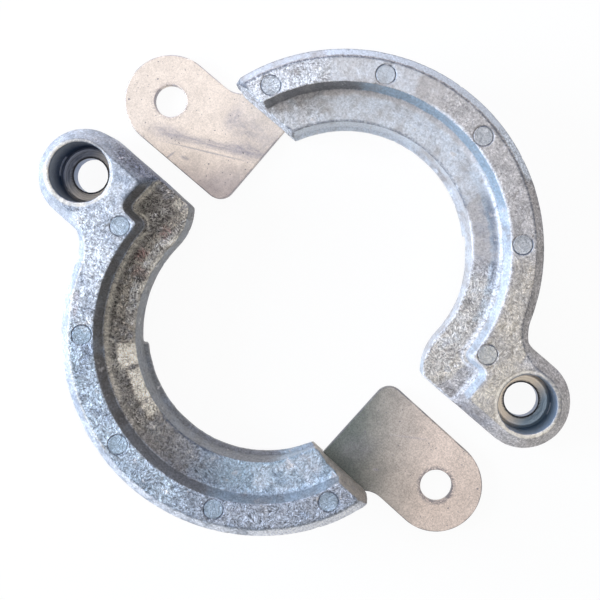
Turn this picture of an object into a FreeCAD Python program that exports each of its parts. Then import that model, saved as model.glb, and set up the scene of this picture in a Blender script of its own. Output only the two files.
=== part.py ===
import FreeCAD, Part
import math
import os

import Sketcher

# Split ring anode for a drive leg, laid out as two halves side by side.
# Each half is a zinc casting (half ring, bolt boss, stepped channel) with a steel
# strap cast into its underside. The strap's free tab slides under the other half's
# boss, and a bolt through each boss closes the ring. Both halves are the same.
#
# Half frame: ring axis on Z, boss bolt axis on +X, strap bolt axis on -X,
# metal on the +Y side, underside on z = 0.

SIZES = (
    ("casting_height", 25.0, "underside to top face"),
    ("strap_thickness", 3.0, "steel strap, and the step under the boss end"),
    ("rim_radius", 56.8, "outer edge of the top face"),
    ("shoulder_width", 2.9, "sloped shoulder outside the top face"),
    ("shoulder_height", 3.5, "height of that shoulder"),
    ("skirt_draft", 0.3, "outward draft from the shoulder to the underside"),
    ("bore_radius", 38.4, "bore that goes round the leg"),
    ("lip_stand", 1.0, "how far the bottom lip stands into the bore"),
    ("lip_start_angle", 46.5, "where the bottom flange and its lip begin"),
    ("lip_corner_radius", 0.6, "round corner at the start of the lip"),
    ("channel_radius", 49.2, "channel wall at the top face"),
    ("channel_depth", 8.5, "top face to channel floor"),
    ("channel_draft", 8.0, "draft angle of the channel wall"),
    ("channel_bevel", 1.2, "bevel between channel wall and floor"),
    ("jog_offset", 0.4, "step of the channel wall, below the bolt line"),
    ("jog_nose_radius", 1.2, "outer corner of that step"),
    ("pocket_width", 7.5, "channel wall to the side wall of the pocket by the boss"),
    ("pocket_corner_radius", 3.2, "inner corner of the pocket"),
    ("pocket_edge_radius", 1.6, "round edge of the pocket at the boss end, top face"),
    ("pocket_edge_low_radius", 0.4, "the same edge where it runs out lower down"),
    ("bolt_offset", 72.0, "ring axis to each bolt axis"),
    ("boss_top_radius", 10.1, "boss round at the top face"),
    ("boss_slope_width", 4.0, "how far the boss flank slopes out"),
    ("blend_top_radius", 16.0, "hollow between ring and boss, top face"),
    ("blend_foot_radius", 8.0, "hollow between ring and boss, lower down"),
    ("flare_radius", 17.5, "rounding that opens the bore at the boss end"),
    ("flare_start", 1.7, "where that rounding leaves the bore, below the bolt line"),
    ("split_gap", 1.7, "gap between two closed halves at the split"),
    ("tab_end_draft", 1.2, "slope of the split face above the strap"),
    ("end_corner_radius", 2.5, "outer corner of that split face"),
    ("counterbore_radius", 8.75, "room for a socket round the bolt head"),
    ("counterbore_bevel", 0.9, "bevel at the foot of the counterbore"),
    ("bolt_web", 6.3, "zinc under the bolt head"),
    ("bolt_hole_radius", 5.3, "bolt hole in the boss"),
    ("mark_inset", 3.5, "ejector marks, from the channel wall"),
    ("mark_radius", 2.95, "ejector mark"),
    ("mark_depth", 0.2, "depth of an ejector mark"),
    ("mark_start_angle", 3.9, "first ejector mark"),
    ("mark_step_angle", 37.67, "angle between two marks"),
    ("mark_count", 5.0, "ejector marks on a half"),
    ("tab_radius", 14.5, "round end of the strap's tab"),
    ("tab_hole_radius", 5.0, "bolt hole in the tab"),
    ("tab_edge_offset", 38.6, "ring axis to the tab's straight inner edge"),
    ("tab_corner_radius", 4.8, "inner corner of the tab"),
    ("tab_fillet_radius", 8.0, "hollow where the tab widens into the casting"),
    ("strap_inner_cover", 3.9, "zinc between bore and strap"),
    ("strap_outer_cover", 2.5, "zinc between strap and outer wall"),
    ("strap_end_cover", 5.0, "angle of zinc beyond the strap's buried end"),
    ("key_hole_radius", 3.5, "strap holes that the zinc fills"),
    ("key_start_angle", 80.0, "first of those holes"),
    ("key_step_angle", 45.0, "angle between the two"),
    ("left_angle", 137.87, "turn of the left half on the ground"),
    ("right_angle", -40.42, "turn of the right half"),
    ("spacing_across", 24.7, "from the left ring axis to the right one, along X"),
    ("spacing_along", 26.05, "the same, along Y"),
)
SIZE = {name: value for name, value, meaning in SIZES}

HALVES = ("left", "right")
KEY_COUNT = 2

# Sizes that follow from the driving ones, as sheet expressions.
DERIVED = (
    ("outer_radius", "rim_radius + shoulder_width"),
    ("foot_radius", "rim_radius + shoulder_width + skirt_draft"),
    ("boss_foot_radius", "boss_top_radius + boss_slope_width"),
    ("floor_height", "casting_height - channel_depth"),
    ("shoulder_level", "casting_height - shoulder_height"),
    ("shoulder_share", "shoulder_height / channel_depth"),
    ("shoulder_boss_radius", "boss_top_radius + boss_slope_width * shoulder_share"),
    (
        "shoulder_blend_radius",
        "blend_top_radius - (blend_top_radius - blend_foot_radius) * shoulder_share",
    ),
    ("split_offset", "boss_foot_radius + split_gap"),
    ("top_split_offset", "split_offset + tab_end_draft"),
    ("lip_radius", "bore_radius - lip_stand"),
    ("strap_inner_radius", "bore_radius + strap_inner_cover"),
    ("strap_outer_radius", "foot_radius - strap_outer_cover"),
    ("strap_end_angle", "lip_start_angle + strap_end_cover"),
    ("strap_end_radius", "(strap_outer_radius - strap_inner_radius) / 5"),
    ("key_circle_radius", "(strap_inner_radius + strap_outer_radius) / 2"),
    ("counterbore_depth", "casting_height - strap_thickness - bolt_web"),
    ("mark_circle_radius", "channel_radius + mark_inset"),
    ("pocket_offset", "channel_radius + pocket_width"),
    ("edge_low_level", "floor_height + channel_bevel"),
    (
        "edge_low_offset",
        "pocket_offset - (channel_depth - channel_bevel) * tan(channel_draft * 1 deg)",
    ),
    (
        "edge_low_radius",
        "boss_foot_radius - boss_slope_width * channel_bevel / channel_depth",
    ),
)

# The casting's outline is lofted through these levels, from the underside up:
# name, height, outer radius, boss radius, blend radius.
LEVELS = (
    ("foot", "strap_thickness", "foot_radius", "boss_foot_radius", "blend_foot_radius"),
    ("floor", "floor_height", "outer_radius", "boss_foot_radius", "blend_foot_radius"),
    (
        "shoulder",
        "shoulder_level",
        "outer_radius",
        "shoulder_boss_radius",
        "shoulder_blend_radius",
    ),
    ("top", "casting_height", "rim_radius", "boss_top_radius", "blend_top_radius"),
)

CLEAR = 6.0  # how far a cutting sketch runs past the metal it cuts
NEAR = 0.01  # tolerance when an edge is looked up by its place


def value(name):
    """The size in millimetres or degrees that the sheet holds under this alias."""
    return float(sheet.get(name))


def polar(radius, degrees):
    """Point of the half frame at this radius and angle."""
    turn = math.radians(degrees)
    return FreeCAD.Vector(radius * math.cos(turn), radius * math.sin(turn), 0)


def point(x, y):
    return FreeCAD.Vector(x, y, 0)


def fill_sheet():
    """Writes the driving sizes and the derived ones into the spreadsheet."""
    row = 1
    for name, number, meaning in SIZES:
        sheet.set(f"A{row}", meaning)
        sheet.set(f"B{row}", str(number))
        sheet.setAlias(f"B{row}", name)
        row += 1
    doc.recompute()
    for name, expression in DERIVED:
        sheet.set(f"A{row}", name.replace("_", " "))
        sheet.set(f"B{row}", "=" + expression)
        sheet.setAlias(f"B{row}", name)
        doc.recompute()
        row += 1


def new_body(label):
    body = doc.addObject("PartDesign::Body", label)
    body.Label = label
    return body


def new_sketch(body, name, height=None, plane="XY_Plane"):
    """A sketch on one of the body's own planes, or above it by a height."""
    sketch = body.newObject("Sketcher::SketchObject", name)
    planes = [o for o in body.Origin.OriginFeatures if o.Role == plane]
    sketch.AttachmentSupport = [(planes[0], "")]
    sketch.MapMode = "FlatFace"
    if height:
        sketch.setExpression(".AttachmentOffset.Base.z", f"Sizes.{height}")
    return sketch


def line(sketch, start, end):
    return sketch.addGeometry(Part.LineSegment(start, end), False)


def arc(sketch, centre, radius, start, end):
    """Counter-clockwise arc from the direction of start to that of end."""
    first = math.atan2(start.y - centre.y, start.x - centre.x)
    last = math.atan2(end.y - centre.y, end.x - centre.x)
    if last <= first:
        last += 2 * math.pi
    circle = Part.Circle(centre, FreeCAD.Vector(0, 0, 1), radius)
    return sketch.addGeometry(Part.ArcOfCircle(circle, first, last), False)


def circle(sketch, centre, radius):
    return sketch.addGeometry(
        Part.Circle(centre, FreeCAD.Vector(0, 0, 1), radius), False
    )


def fix(sketch, kind, *what):
    return sketch.addConstraint(Sketcher.Constraint(kind, *what))


def bind(sketch, expression, kind, *what):
    """A dimension of the sketch that takes its number from the sheet."""
    index = fix(sketch, kind, *what)
    sketch.setExpression(f"Constraints[{index}]", expression)


# Points of a sketch element: its start, its end and its centre.
START, END, CENTRE = 1, 2, 3
# The sketch's own origin and axes.
ORIGIN = (-1, 1)
X_AXIS = -1


def hollow_centre(ring_radius, line_offset, radius, side):
    """Centre of an arc that fills the corner outside a circle round the origin
    and above a line parallel to X."""
    y = line_offset + radius
    return point(side * math.sqrt((ring_radius + radius) ** 2 - y * y), y)


def corner_centre(ring_radius, line_offset, radius):
    """Centre of an arc that rounds the corner inside the circle, above the line,
    on the -X side."""
    y = line_offset + radius
    return point(-math.sqrt((ring_radius - radius) ** 2 - y * y), y)


def outline_sketch(body, level):
    """Plan outline of the half at one level: ring, blend, boss, split faces, bore."""
    name, height, outer, boss, blend = level
    sketch = new_sketch(body, f"outline_{name}", height)
    ring, lobe, hollow = value(outer), value(boss), value(blend)
    inner, end = value("bore_radius"), value("split_offset")
    bolt, flare = value("bolt_offset"), value("flare_radius")
    corner = value("end_corner_radius")
    centre = point(0, 0)
    corner_at = corner_centre(ring, end, corner)
    hollow_at = hollow_centre(ring, lobe, hollow, 1)
    ring_start = hollow_at * (ring / (ring + hollow))
    ring_end = corner_at * (ring / (ring - corner))
    flare_turn = -math.degrees(math.asin(value("flare_start") / inner))
    flare_at = polar(inner + flare, flare_turn)
    drop = lobe + flare_at.y
    flare_end = point(flare_at.x - math.sqrt(flare**2 - drop**2), -lobe)
    bore_end = point(-math.sqrt(inner**2 - end**2), end)

    ring_arc = arc(sketch, centre, ring, ring_start, ring_end)
    corner_arc = arc(sketch, corner_at, corner, ring_end, point(corner_at.x, end))
    split_line = line(sketch, point(corner_at.x, end), bore_end)
    bore_arc = arc(sketch, centre, inner, polar(inner, flare_turn), bore_end)
    flare_arc = arc(sketch, flare_at, flare, polar(inner, flare_turn), flare_end)
    face_line = line(sketch, flare_end, point(bolt, -lobe))
    boss_arc = arc(sketch, point(bolt, 0), lobe, point(bolt, -lobe), point(bolt, lobe))
    flank_line = line(sketch, point(bolt, lobe), point(hollow_at.x, lobe))
    blend_arc = arc(sketch, hollow_at, hollow, ring_start, point(hollow_at.x, lobe))

    fix(sketch, "Tangent", ring_arc, END, corner_arc, START)
    fix(sketch, "Tangent", corner_arc, END, split_line, START)
    fix(sketch, "Coincident", split_line, END, bore_arc, END)
    fix(sketch, "Tangent", bore_arc, START, flare_arc, START)
    fix(sketch, "Coincident", flare_arc, END, face_line, START)
    fix(sketch, "Tangent", face_line, END, boss_arc, START)
    fix(sketch, "Tangent", boss_arc, END, flank_line, START)
    fix(sketch, "Tangent", flank_line, END, blend_arc, END)
    fix(sketch, "Tangent", blend_arc, START, ring_arc, START)
    fix(sketch, "Coincident", ring_arc, CENTRE, *ORIGIN)
    fix(sketch, "Coincident", bore_arc, CENTRE, *ORIGIN)
    fix(sketch, "PointOnObject", boss_arc, CENTRE, X_AXIS)
    fix(sketch, "Horizontal", split_line)
    fix(sketch, "Horizontal", face_line)
    fix(sketch, "Horizontal", flank_line)
    bind(sketch, f"Sizes.{outer}", "Radius", ring_arc, ring)
    bind(sketch, "Sizes.bore_radius", "Radius", bore_arc, inner)
    bind(sketch, f"Sizes.{boss}", "Radius", boss_arc, lobe)
    bind(sketch, f"Sizes.{blend}", "Radius", blend_arc, hollow)
    bind(sketch, "Sizes.flare_radius", "Radius", flare_arc, flare)
    bind(sketch, "Sizes.end_corner_radius", "Radius", corner_arc, corner)
    bind(sketch, "Sizes.bolt_offset", "DistanceX", *ORIGIN, boss_arc, CENTRE, bolt)
    bind(sketch, "Sizes.split_offset", "DistanceY", *ORIGIN, split_line, START, end)
    bind(
        sketch,
        "Sizes.flare_start",
        "DistanceY",
        flare_arc,
        START,
        *ORIGIN,
        value("flare_start"),
    )
    return sketch


def flange_sketch(body):
    """Plan outline of the bottom flange, which holds the strap and ends in the lip."""
    sketch = new_sketch(body, "flange_outline")
    ring, inner, end = value("foot_radius"), value("lip_radius"), value("split_offset")
    corner, nose = value("end_corner_radius"), value("lip_corner_radius")
    turn = value("lip_start_angle")
    centre = point(0, 0)
    corner_at = corner_centre(ring, end, corner)
    ring_end = corner_at * (ring / (ring - corner))
    bore_end = point(-math.sqrt(inner**2 - end**2), end)
    nose_angle = turn + math.degrees(math.asin(nose / (inner + nose)))
    nose_at = polar(inner + nose, nose_angle)
    nose_end = polar(inner, nose_angle)
    nose_start = polar(math.sqrt((inner + nose) ** 2 - nose**2), turn)

    ring_arc = arc(sketch, centre, ring, polar(ring, turn), ring_end)
    corner_arc = arc(sketch, corner_at, corner, ring_end, point(corner_at.x, end))
    split_line = line(sketch, point(corner_at.x, end), bore_end)
    lip_arc = arc(sketch, centre, inner, nose_end, bore_end)
    nose_arc = arc(sketch, nose_at, nose, nose_end, nose_start)
    start_line = line(sketch, nose_start, polar(ring, turn))

    fix(sketch, "Tangent", ring_arc, END, corner_arc, START)
    fix(sketch, "Tangent", corner_arc, END, split_line, START)
    fix(sketch, "Coincident", split_line, END, lip_arc, END)
    fix(sketch, "Tangent", lip_arc, START, nose_arc, START)
    fix(sketch, "Tangent", nose_arc, END, start_line, START)
    fix(sketch, "Coincident", start_line, END, ring_arc, START)
    fix(sketch, "Coincident", ring_arc, CENTRE, *ORIGIN)
    fix(sketch, "Coincident", lip_arc, CENTRE, *ORIGIN)
    fix(sketch, "Horizontal", split_line)
    fix(sketch, "PointOnObject", *ORIGIN, start_line)
    bind(sketch, "Sizes.foot_radius", "Radius", ring_arc, ring)
    bind(sketch, "Sizes.lip_radius", "Radius", lip_arc, inner)
    bind(sketch, "Sizes.end_corner_radius", "Radius", corner_arc, corner)
    bind(sketch, "Sizes.lip_corner_radius", "Radius", nose_arc, nose)
    bind(sketch, "Sizes.split_offset", "DistanceY", *ORIGIN, split_line, START, end)
    bind(
        sketch,
        "Sizes.lip_start_angle * 1 deg",
        "Angle",
        start_line,
        math.radians(turn),
    )
    return sketch


def channel_sketch(body):
    """The lowered inner side of the ring: a curved wall that steps out into a
    pocket beside the boss. The rest of the loop lies clear of the metal."""
    sketch = new_sketch(body, "channel_outline", "casting_height")
    wall, side = value("channel_radius"), value("pocket_offset")
    step = -value("jog_offset")
    nose, corner = value("jog_nose_radius"), value("pocket_corner_radius")
    low = -value("boss_foot_radius") - CLEAR
    centre = point(0, 0)
    nose_at = point(math.sqrt((wall + nose) ** 2 - (step + nose) ** 2), step + nose)
    wall_start = nose_at * (wall / (wall + nose))
    wall_end = point(-wall, 0)
    corner_at = point(side - corner, step - corner)

    wall_arc = arc(sketch, centre, wall, wall_start, wall_end)
    open_line = line(sketch, wall_end, point(-wall, low))
    low_line = line(sketch, point(-wall, low), point(side, low))
    side_line = line(sketch, point(side, low), point(side, corner_at.y))
    corner_arc = arc(
        sketch, corner_at, corner, point(side, corner_at.y), point(corner_at.x, step)
    )
    step_line = line(sketch, point(corner_at.x, step), point(nose_at.x, step))
    nose_arc = arc(sketch, nose_at, nose, wall_start, point(nose_at.x, step))

    fix(sketch, "Tangent", wall_arc, END, open_line, START)
    fix(sketch, "Coincident", open_line, END, low_line, START)
    fix(sketch, "Coincident", low_line, END, side_line, START)
    fix(sketch, "Tangent", side_line, END, corner_arc, START)
    fix(sketch, "Tangent", corner_arc, END, step_line, START)
    fix(sketch, "Tangent", step_line, END, nose_arc, END)
    fix(sketch, "Tangent", nose_arc, START, wall_arc, START)
    fix(sketch, "Coincident", wall_arc, CENTRE, *ORIGIN)
    fix(sketch, "Vertical", open_line)
    fix(sketch, "Horizontal", low_line)
    fix(sketch, "Vertical", side_line)
    fix(sketch, "Horizontal", step_line)
    bind(sketch, "Sizes.channel_radius", "Radius", wall_arc, wall)
    bind(sketch, "Sizes.jog_nose_radius", "Radius", nose_arc, nose)
    bind(sketch, "Sizes.pocket_corner_radius", "Radius", corner_arc, corner)
    bind(sketch, "Sizes.pocket_offset", "DistanceX", *ORIGIN, side_line, START, side)
    bind(sketch, "Sizes.jog_offset", "DistanceY", step_line, START, *ORIGIN, -step)
    bind(
        sketch,
        f"Sizes.boss_foot_radius + {CLEAR}",
        "DistanceY",
        low_line,
        START,
        *ORIGIN,
        -low,
    )
    return sketch


def split_sketch(body):
    """Side view of the wedge that gives the split face above the strap its slope."""
    sketch = new_sketch(body, "split_outline", plane="YZ_Plane")
    foot, top = value("split_offset"), value("top_split_offset")
    low, high = value("strap_thickness"), value("casting_height")
    clear = foot - CLEAR

    slope_line = line(sketch, point(foot, low), point(top, high))
    high_line = line(sketch, point(top, high), point(clear, high))
    clear_line = line(sketch, point(clear, high), point(clear, low))
    low_line = line(sketch, point(clear, low), point(foot, low))

    fix(sketch, "Coincident", slope_line, END, high_line, START)
    fix(sketch, "Coincident", high_line, END, clear_line, START)
    fix(sketch, "Coincident", clear_line, END, low_line, START)
    fix(sketch, "Coincident", low_line, END, slope_line, START)
    fix(sketch, "Horizontal", high_line)
    fix(sketch, "Vertical", clear_line)
    fix(sketch, "Horizontal", low_line)
    bind(sketch, "Sizes.split_offset", "DistanceX", *ORIGIN, slope_line, START, foot)
    bind(sketch, "Sizes.top_split_offset", "DistanceX", *ORIGIN, slope_line, END, top)
    bind(sketch, "Sizes.strap_thickness", "DistanceY", *ORIGIN, slope_line, START, low)
    bind(sketch, "Sizes.casting_height", "DistanceY", *ORIGIN, slope_line, END, high)
    bind(
        sketch,
        f"Sizes.split_offset - {CLEAR}",
        "DistanceX",
        *ORIGIN,
        clear_line,
        START,
        clear,
    )
    return sketch


def edge_sketch(body, name, height, across, along, radius):
    """The corner that rounds off the pocket's edge at the boss end, at one level."""
    sketch = new_sketch(body, name, height)
    x, y, edge = value(across), -value(along), value(radius)
    left, low = x - CLEAR, y - CLEAR
    arc_at = point(x + edge, y + edge)

    edge_arc = arc(sketch, arc_at, edge, point(x, y + edge), point(x + edge, y))
    right_line = line(sketch, point(x + edge, y), point(x + edge, low))
    low_line = line(sketch, point(x + edge, low), point(left, low))
    left_line = line(sketch, point(left, low), point(left, y + edge))
    top_line = line(sketch, point(left, y + edge), point(x, y + edge))

    fix(sketch, "Coincident", edge_arc, END, right_line, START)
    fix(sketch, "Coincident", right_line, END, low_line, START)
    fix(sketch, "Coincident", low_line, END, left_line, START)
    fix(sketch, "Coincident", left_line, END, top_line, START)
    fix(sketch, "Coincident", top_line, END, edge_arc, START)
    fix(sketch, "Vertical", right_line)
    fix(sketch, "Horizontal", low_line)
    fix(sketch, "Vertical", left_line)
    fix(sketch, "Horizontal", top_line)
    fix(sketch, "Vertical", edge_arc, END, edge_arc, CENTRE)
    fix(sketch, "Horizontal", edge_arc, START, edge_arc, CENTRE)
    bind(sketch, f"Sizes.{radius}", "Radius", edge_arc, edge)
    bind(sketch, f"Sizes.{across}", "DistanceX", *ORIGIN, edge_arc, START, x)
    bind(sketch, f"Sizes.{along}", "DistanceY", edge_arc, END, *ORIGIN, -y)
    bind(
        sketch, f"Sizes.{across} - {CLEAR}", "DistanceX", *ORIGIN, left_line, START, left
    )
    bind(
        sketch, f"Sizes.{along} + {CLEAR}", "DistanceY", low_line, START, *ORIGIN, -low
    )
    return sketch


def strap_sketch(body, keys):
    """Plan outline of the strap: a tab with a round end round the bolt, widening
    into a curved band that lies in the casting. keys adds the holes in the band."""
    sketch = new_sketch(body, "strap_outline")
    inner, outer = value("strap_inner_radius"), value("strap_outer_radius")
    bolt, tab = value("bolt_offset"), value("tab_radius")
    hollow, corner = value("tab_fillet_radius"), value("tab_corner_radius")
    edge, nose = value("tab_edge_offset"), value("strap_end_radius")
    turn = value("strap_end_angle")
    centre = point(0, 0)
    hollow_at = hollow_centre(outer, tab, hollow, -1)
    band_start = hollow_at * (outer / (outer + hollow))
    inner_end = point(-edge, math.sqrt(inner**2 - edge**2))
    outer_turn = turn + math.degrees(math.asin(nose / (outer - nose)))
    inner_turn = turn + math.degrees(math.asin(nose / (inner + nose)))
    outer_at = polar(outer - nose, outer_turn)
    inner_at = polar(inner + nose, inner_turn)
    end_outer = polar(math.sqrt((outer - nose) ** 2 - nose**2), turn)
    end_inner = polar(math.sqrt((inner + nose) ** 2 - nose**2), turn)

    tab_arc = arc(sketch, point(-bolt, 0), tab, point(-bolt, tab), point(-bolt, -tab))
    low_line = line(sketch, point(-bolt, -tab), point(-edge - corner, -tab))
    corner_arc = arc(
        sketch,
        point(-edge - corner, corner - tab),
        corner,
        point(-edge - corner, -tab),
        point(-edge, corner - tab),
    )
    edge_line = line(sketch, point(-edge, corner - tab), inner_end)
    inner_arc = arc(sketch, centre, inner, polar(inner, inner_turn), inner_end)
    inner_nose = arc(sketch, inner_at, nose, polar(inner, inner_turn), end_inner)
    end_line = line(sketch, end_inner, end_outer)
    outer_nose = arc(sketch, outer_at, nose, end_outer, polar(outer, outer_turn))
    outer_arc = arc(sketch, centre, outer, polar(outer, outer_turn), band_start)
    hollow_arc = arc(sketch, hollow_at, hollow, point(hollow_at.x, tab), band_start)
    top_line = line(sketch, point(hollow_at.x, tab), point(-bolt, tab))

    fix(sketch, "Tangent", tab_arc, END, low_line, START)
    fix(sketch, "Tangent", low_line, END, corner_arc, START)
    fix(sketch, "Tangent", corner_arc, END, edge_line, START)
    fix(sketch, "Coincident", edge_line, END, inner_arc, END)
    fix(sketch, "Tangent", inner_arc, START, inner_nose, START)
    fix(sketch, "Tangent", inner_nose, END, end_line, START)
    fix(sketch, "Tangent", end_line, END, outer_nose, START)
    fix(sketch, "Tangent", outer_nose, END, outer_arc, START)
    fix(sketch, "Tangent", outer_arc, END, hollow_arc, END)
    fix(sketch, "Tangent", hollow_arc, START, top_line, START)
    fix(sketch, "Tangent", top_line, END, tab_arc, START)
    fix(sketch, "Coincident", inner_arc, CENTRE, *ORIGIN)
    fix(sketch, "Coincident", outer_arc, CENTRE, *ORIGIN)
    fix(sketch, "PointOnObject", tab_arc, CENTRE, X_AXIS)
    fix(sketch, "Horizontal", low_line)
    fix(sketch, "Vertical", edge_line)
    fix(sketch, "Horizontal", top_line)
    fix(sketch, "PointOnObject", *ORIGIN, end_line)
    fix(sketch, "Equal", inner_nose, outer_nose)
    bind(sketch, "Sizes.bolt_offset", "DistanceX", tab_arc, CENTRE, *ORIGIN, bolt)
    bind(sketch, "Sizes.tab_radius", "Radius", tab_arc, tab)
    bind(sketch, "Sizes.tab_corner_radius", "Radius", corner_arc, corner)
    bind(sketch, "Sizes.tab_edge_offset", "DistanceX", edge_line, START, *ORIGIN, edge)
    bind(sketch, "Sizes.strap_inner_radius", "Radius", inner_arc, inner)
    bind(sketch, "Sizes.strap_outer_radius", "Radius", outer_arc, outer)
    bind(sketch, "Sizes.strap_end_radius", "Radius", outer_nose, nose)
    bind(sketch, "Sizes.tab_fillet_radius", "Radius", hollow_arc, hollow)
    bind(
        sketch, "Sizes.strap_end_angle * 1 deg", "Angle", end_line, math.radians(turn)
    )
    for number in range(keys):
        key_circle(sketch, number)
    return sketch


def key_circle(sketch, number):
    """One of the holes in the buried band that the zinc fills."""
    angle = value("key_start_angle") + number * value("key_step_angle")
    at = polar(value("key_circle_radius"), angle)
    hole = circle(sketch, at, value("key_hole_radius"))
    spoke = sketch.addGeometry(Part.LineSegment(point(0, 0), at), True)
    fix(sketch, "Coincident", spoke, START, *ORIGIN)
    fix(sketch, "Coincident", spoke, END, hole, CENTRE)
    bind(sketch, "Sizes.key_hole_radius", "Radius", hole, value("key_hole_radius"))
    bind(sketch, "Sizes.key_circle_radius", "Distance", spoke, at.Length)
    bind(
        sketch,
        f"(Sizes.key_start_angle + {number} * Sizes.key_step_angle) * 1 deg",
        "Angle",
        spoke,
        math.radians(angle),
    )


def round_sketch(body, name, height, side, radius):
    """A circle round one of the two bolt axes."""
    sketch = new_sketch(body, name, height)
    bolt = value("bolt_offset")
    hole = circle(sketch, point(side * bolt, 0), value(radius))
    fix(sketch, "PointOnObject", hole, CENTRE, X_AXIS)
    ends = (*ORIGIN, hole, CENTRE) if side > 0 else (hole, CENTRE, *ORIGIN)
    bind(sketch, "Sizes.bolt_offset", "DistanceX", *ends, bolt)
    bind(sketch, f"Sizes.{radius}", "Radius", hole, value(radius))
    return sketch


def mark_sketch(body):
    """The first ejector mark on the top face."""
    sketch = new_sketch(body, "mark_outline", "casting_height")
    at = polar(value("mark_circle_radius"), value("mark_start_angle"))
    mark = circle(sketch, at, value("mark_radius"))
    spoke = sketch.addGeometry(Part.LineSegment(point(0, 0), at), True)
    fix(sketch, "Coincident", spoke, START, *ORIGIN)
    fix(sketch, "Coincident", spoke, END, mark, CENTRE)
    bind(sketch, "Sizes.mark_radius", "Radius", mark, value("mark_radius"))
    bind(sketch, "Sizes.mark_circle_radius", "Distance", spoke, at.Length)
    bind(
        sketch,
        "Sizes.mark_start_angle * 1 deg",
        "Angle",
        spoke,
        math.radians(value("mark_start_angle")),
    )
    return sketch


def pad(body, name, sketch, length):
    feature = body.newObject("PartDesign::Pad", name)
    feature.Profile = sketch
    feature.setExpression("Length", f"Sizes.{length}")
    sketch.Visibility = False
    doc.recompute()
    return feature


def pocket(body, name, sketch, length=None, upward=False, draft=None):
    """Cuts the sketch into the body, and stops if nothing was removed."""
    before = body.Shape.Volume
    feature = body.newObject("PartDesign::Pocket", name)
    feature.Profile = sketch
    feature.Reversed = upward
    if length:
        feature.setExpression("Length", f"Sizes.{length}")
    else:
        feature.Type = "ThroughAll"
    if draft:
        feature.setExpression("TaperAngle", f"-Sizes.{draft} * 1 deg")
    sketch.Visibility = False
    doc.recompute()
    if body.Shape.Volume >= before:
        raise RuntimeError(f"{name} removed nothing")
    return feature


def bevel(body, name, edges, size):
    """A chamfer on the edges of the body's tip that the given test picks."""
    tip = body.Tip
    picked = [f"Edge{i + 1}" for i, e in enumerate(tip.Shape.Edges) if edges(e)]
    if not picked:
        raise RuntimeError(f"{name} found no edge")
    feature = body.newObject("PartDesign::Chamfer", name)
    feature.Base = (tip, picked)
    feature.setExpression("Size", f"Sizes.{size}")
    doc.recompute()


def middle(edge):
    return edge.valueAt((edge.FirstParameter + edge.LastParameter) / 2)


def is_level(edge, height):
    box = edge.BoundBox
    return abs(box.ZMin - height) < NEAR and abs(box.ZMax - height) < NEAR


def channel_foot(edge):
    """The foot of the channel wall and of the pocket's walls."""
    at = middle(edge)
    reach = math.hypot(at.x, at.y)
    on_tab_split = abs(at.y - value("split_offset")) < NEAR
    ring = value("bore_radius") + CLEAR < reach < value("channel_radius")
    side = 0 > at.y > NEAR - value("boss_foot_radius")
    beside = at.x < value("pocket_offset") and side and reach > value("bore_radius") + CLEAR
    return is_level(edge, value("floor_height")) and (beside or ring and not on_tab_split)


def counterbore_foot(edge):
    at = middle(edge)
    height = value("casting_height") - value("counterbore_depth")
    reach = math.hypot(at.x - value("bolt_offset"), at.y)
    return is_level(edge, height) and abs(reach - value("counterbore_radius")) < NEAR


def round_pocket_edge(body):
    """Rounds the edge between the pocket's side wall and the sloping boss end."""
    top = edge_sketch(
        body,
        "edge_outline_top",
        "casting_height",
        "pocket_offset",
        "boss_top_radius",
        "pocket_edge_radius",
    )
    low = edge_sketch(
        body,
        "edge_outline_low",
        "edge_low_level",
        "edge_low_offset",
        "edge_low_radius",
        "pocket_edge_low_radius",
    )
    doc.recompute()
    before = body.Shape.Volume
    cut = body.newObject("PartDesign::SubtractiveLoft", "pocket_edge")
    cut.Profile = top
    cut.Sections = [low]
    cut.Ruled = True
    doc.recompute()
    if body.Shape.Volume >= before:
        raise RuntimeError("pocket_edge removed nothing")


def build_casting(side):
    """The zinc half: a lofted half ring with boss, flange, channel and holes."""
    body = new_body(f"half_ring_{side}")
    sketches = [outline_sketch(body, level) for level in LEVELS]
    doc.recompute()
    loft = body.newObject("PartDesign::AdditiveLoft", "ring_and_boss")
    loft.Profile = sketches[0]
    loft.Sections = sketches[1:]
    loft.Ruled = True
    doc.recompute()
    pad(body, "flange", flange_sketch(body), "strap_thickness")
    pocket(
        body, "channel", channel_sketch(body), "channel_depth", draft="channel_draft"
    )
    bevel(body, "channel_foot", channel_foot, "channel_bevel")
    round_pocket_edge(body)
    pocket(body, "split_face", split_sketch(body))
    counterbore = round_sketch(
        body, "counterbore_outline", "casting_height", 1, "counterbore_radius"
    )
    pocket(body, "counterbore", counterbore, "counterbore_depth")
    bevel(body, "counterbore_foot", counterbore_foot, "counterbore_bevel")
    hole = round_sketch(body, "bolt_hole_outline", "casting_height", 1, "bolt_hole_radius")
    pocket(body, "bolt_hole", hole)
    strap = strap_sketch(body, KEY_COUNT)
    pocket(body, "strap_seat", strap, "strap_thickness", upward=True)
    marks = pocket(body, "ejector_mark", mark_sketch(body), "mark_depth")
    pattern = body.newObject("PartDesign::PolarPattern", "ejector_marks")
    pattern.Originals = [marks]
    axes = [o for o in body.Origin.OriginFeatures if o.Role == "Z_Axis"]
    pattern.Axis = (axes[0], [""])
    pattern.setExpression("Occurrences", "Sizes.mark_count")
    pattern.setExpression("Angle", "Sizes.mark_step_angle * (Sizes.mark_count - 1)")
    body.Tip = pattern
    doc.recompute()
    return body


def build_strap(side):
    """The steel strap, flush with the underside of the casting that holds it."""
    body = new_body(f"strap_{side}")
    pad(body, "plate", strap_sketch(body, KEY_COUNT), "strap_thickness")
    hole = round_sketch(body, "tab_hole_outline", "strap_thickness", -1, "tab_hole_radius")
    pocket(body, "tab_hole", hole)
    return body


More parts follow.
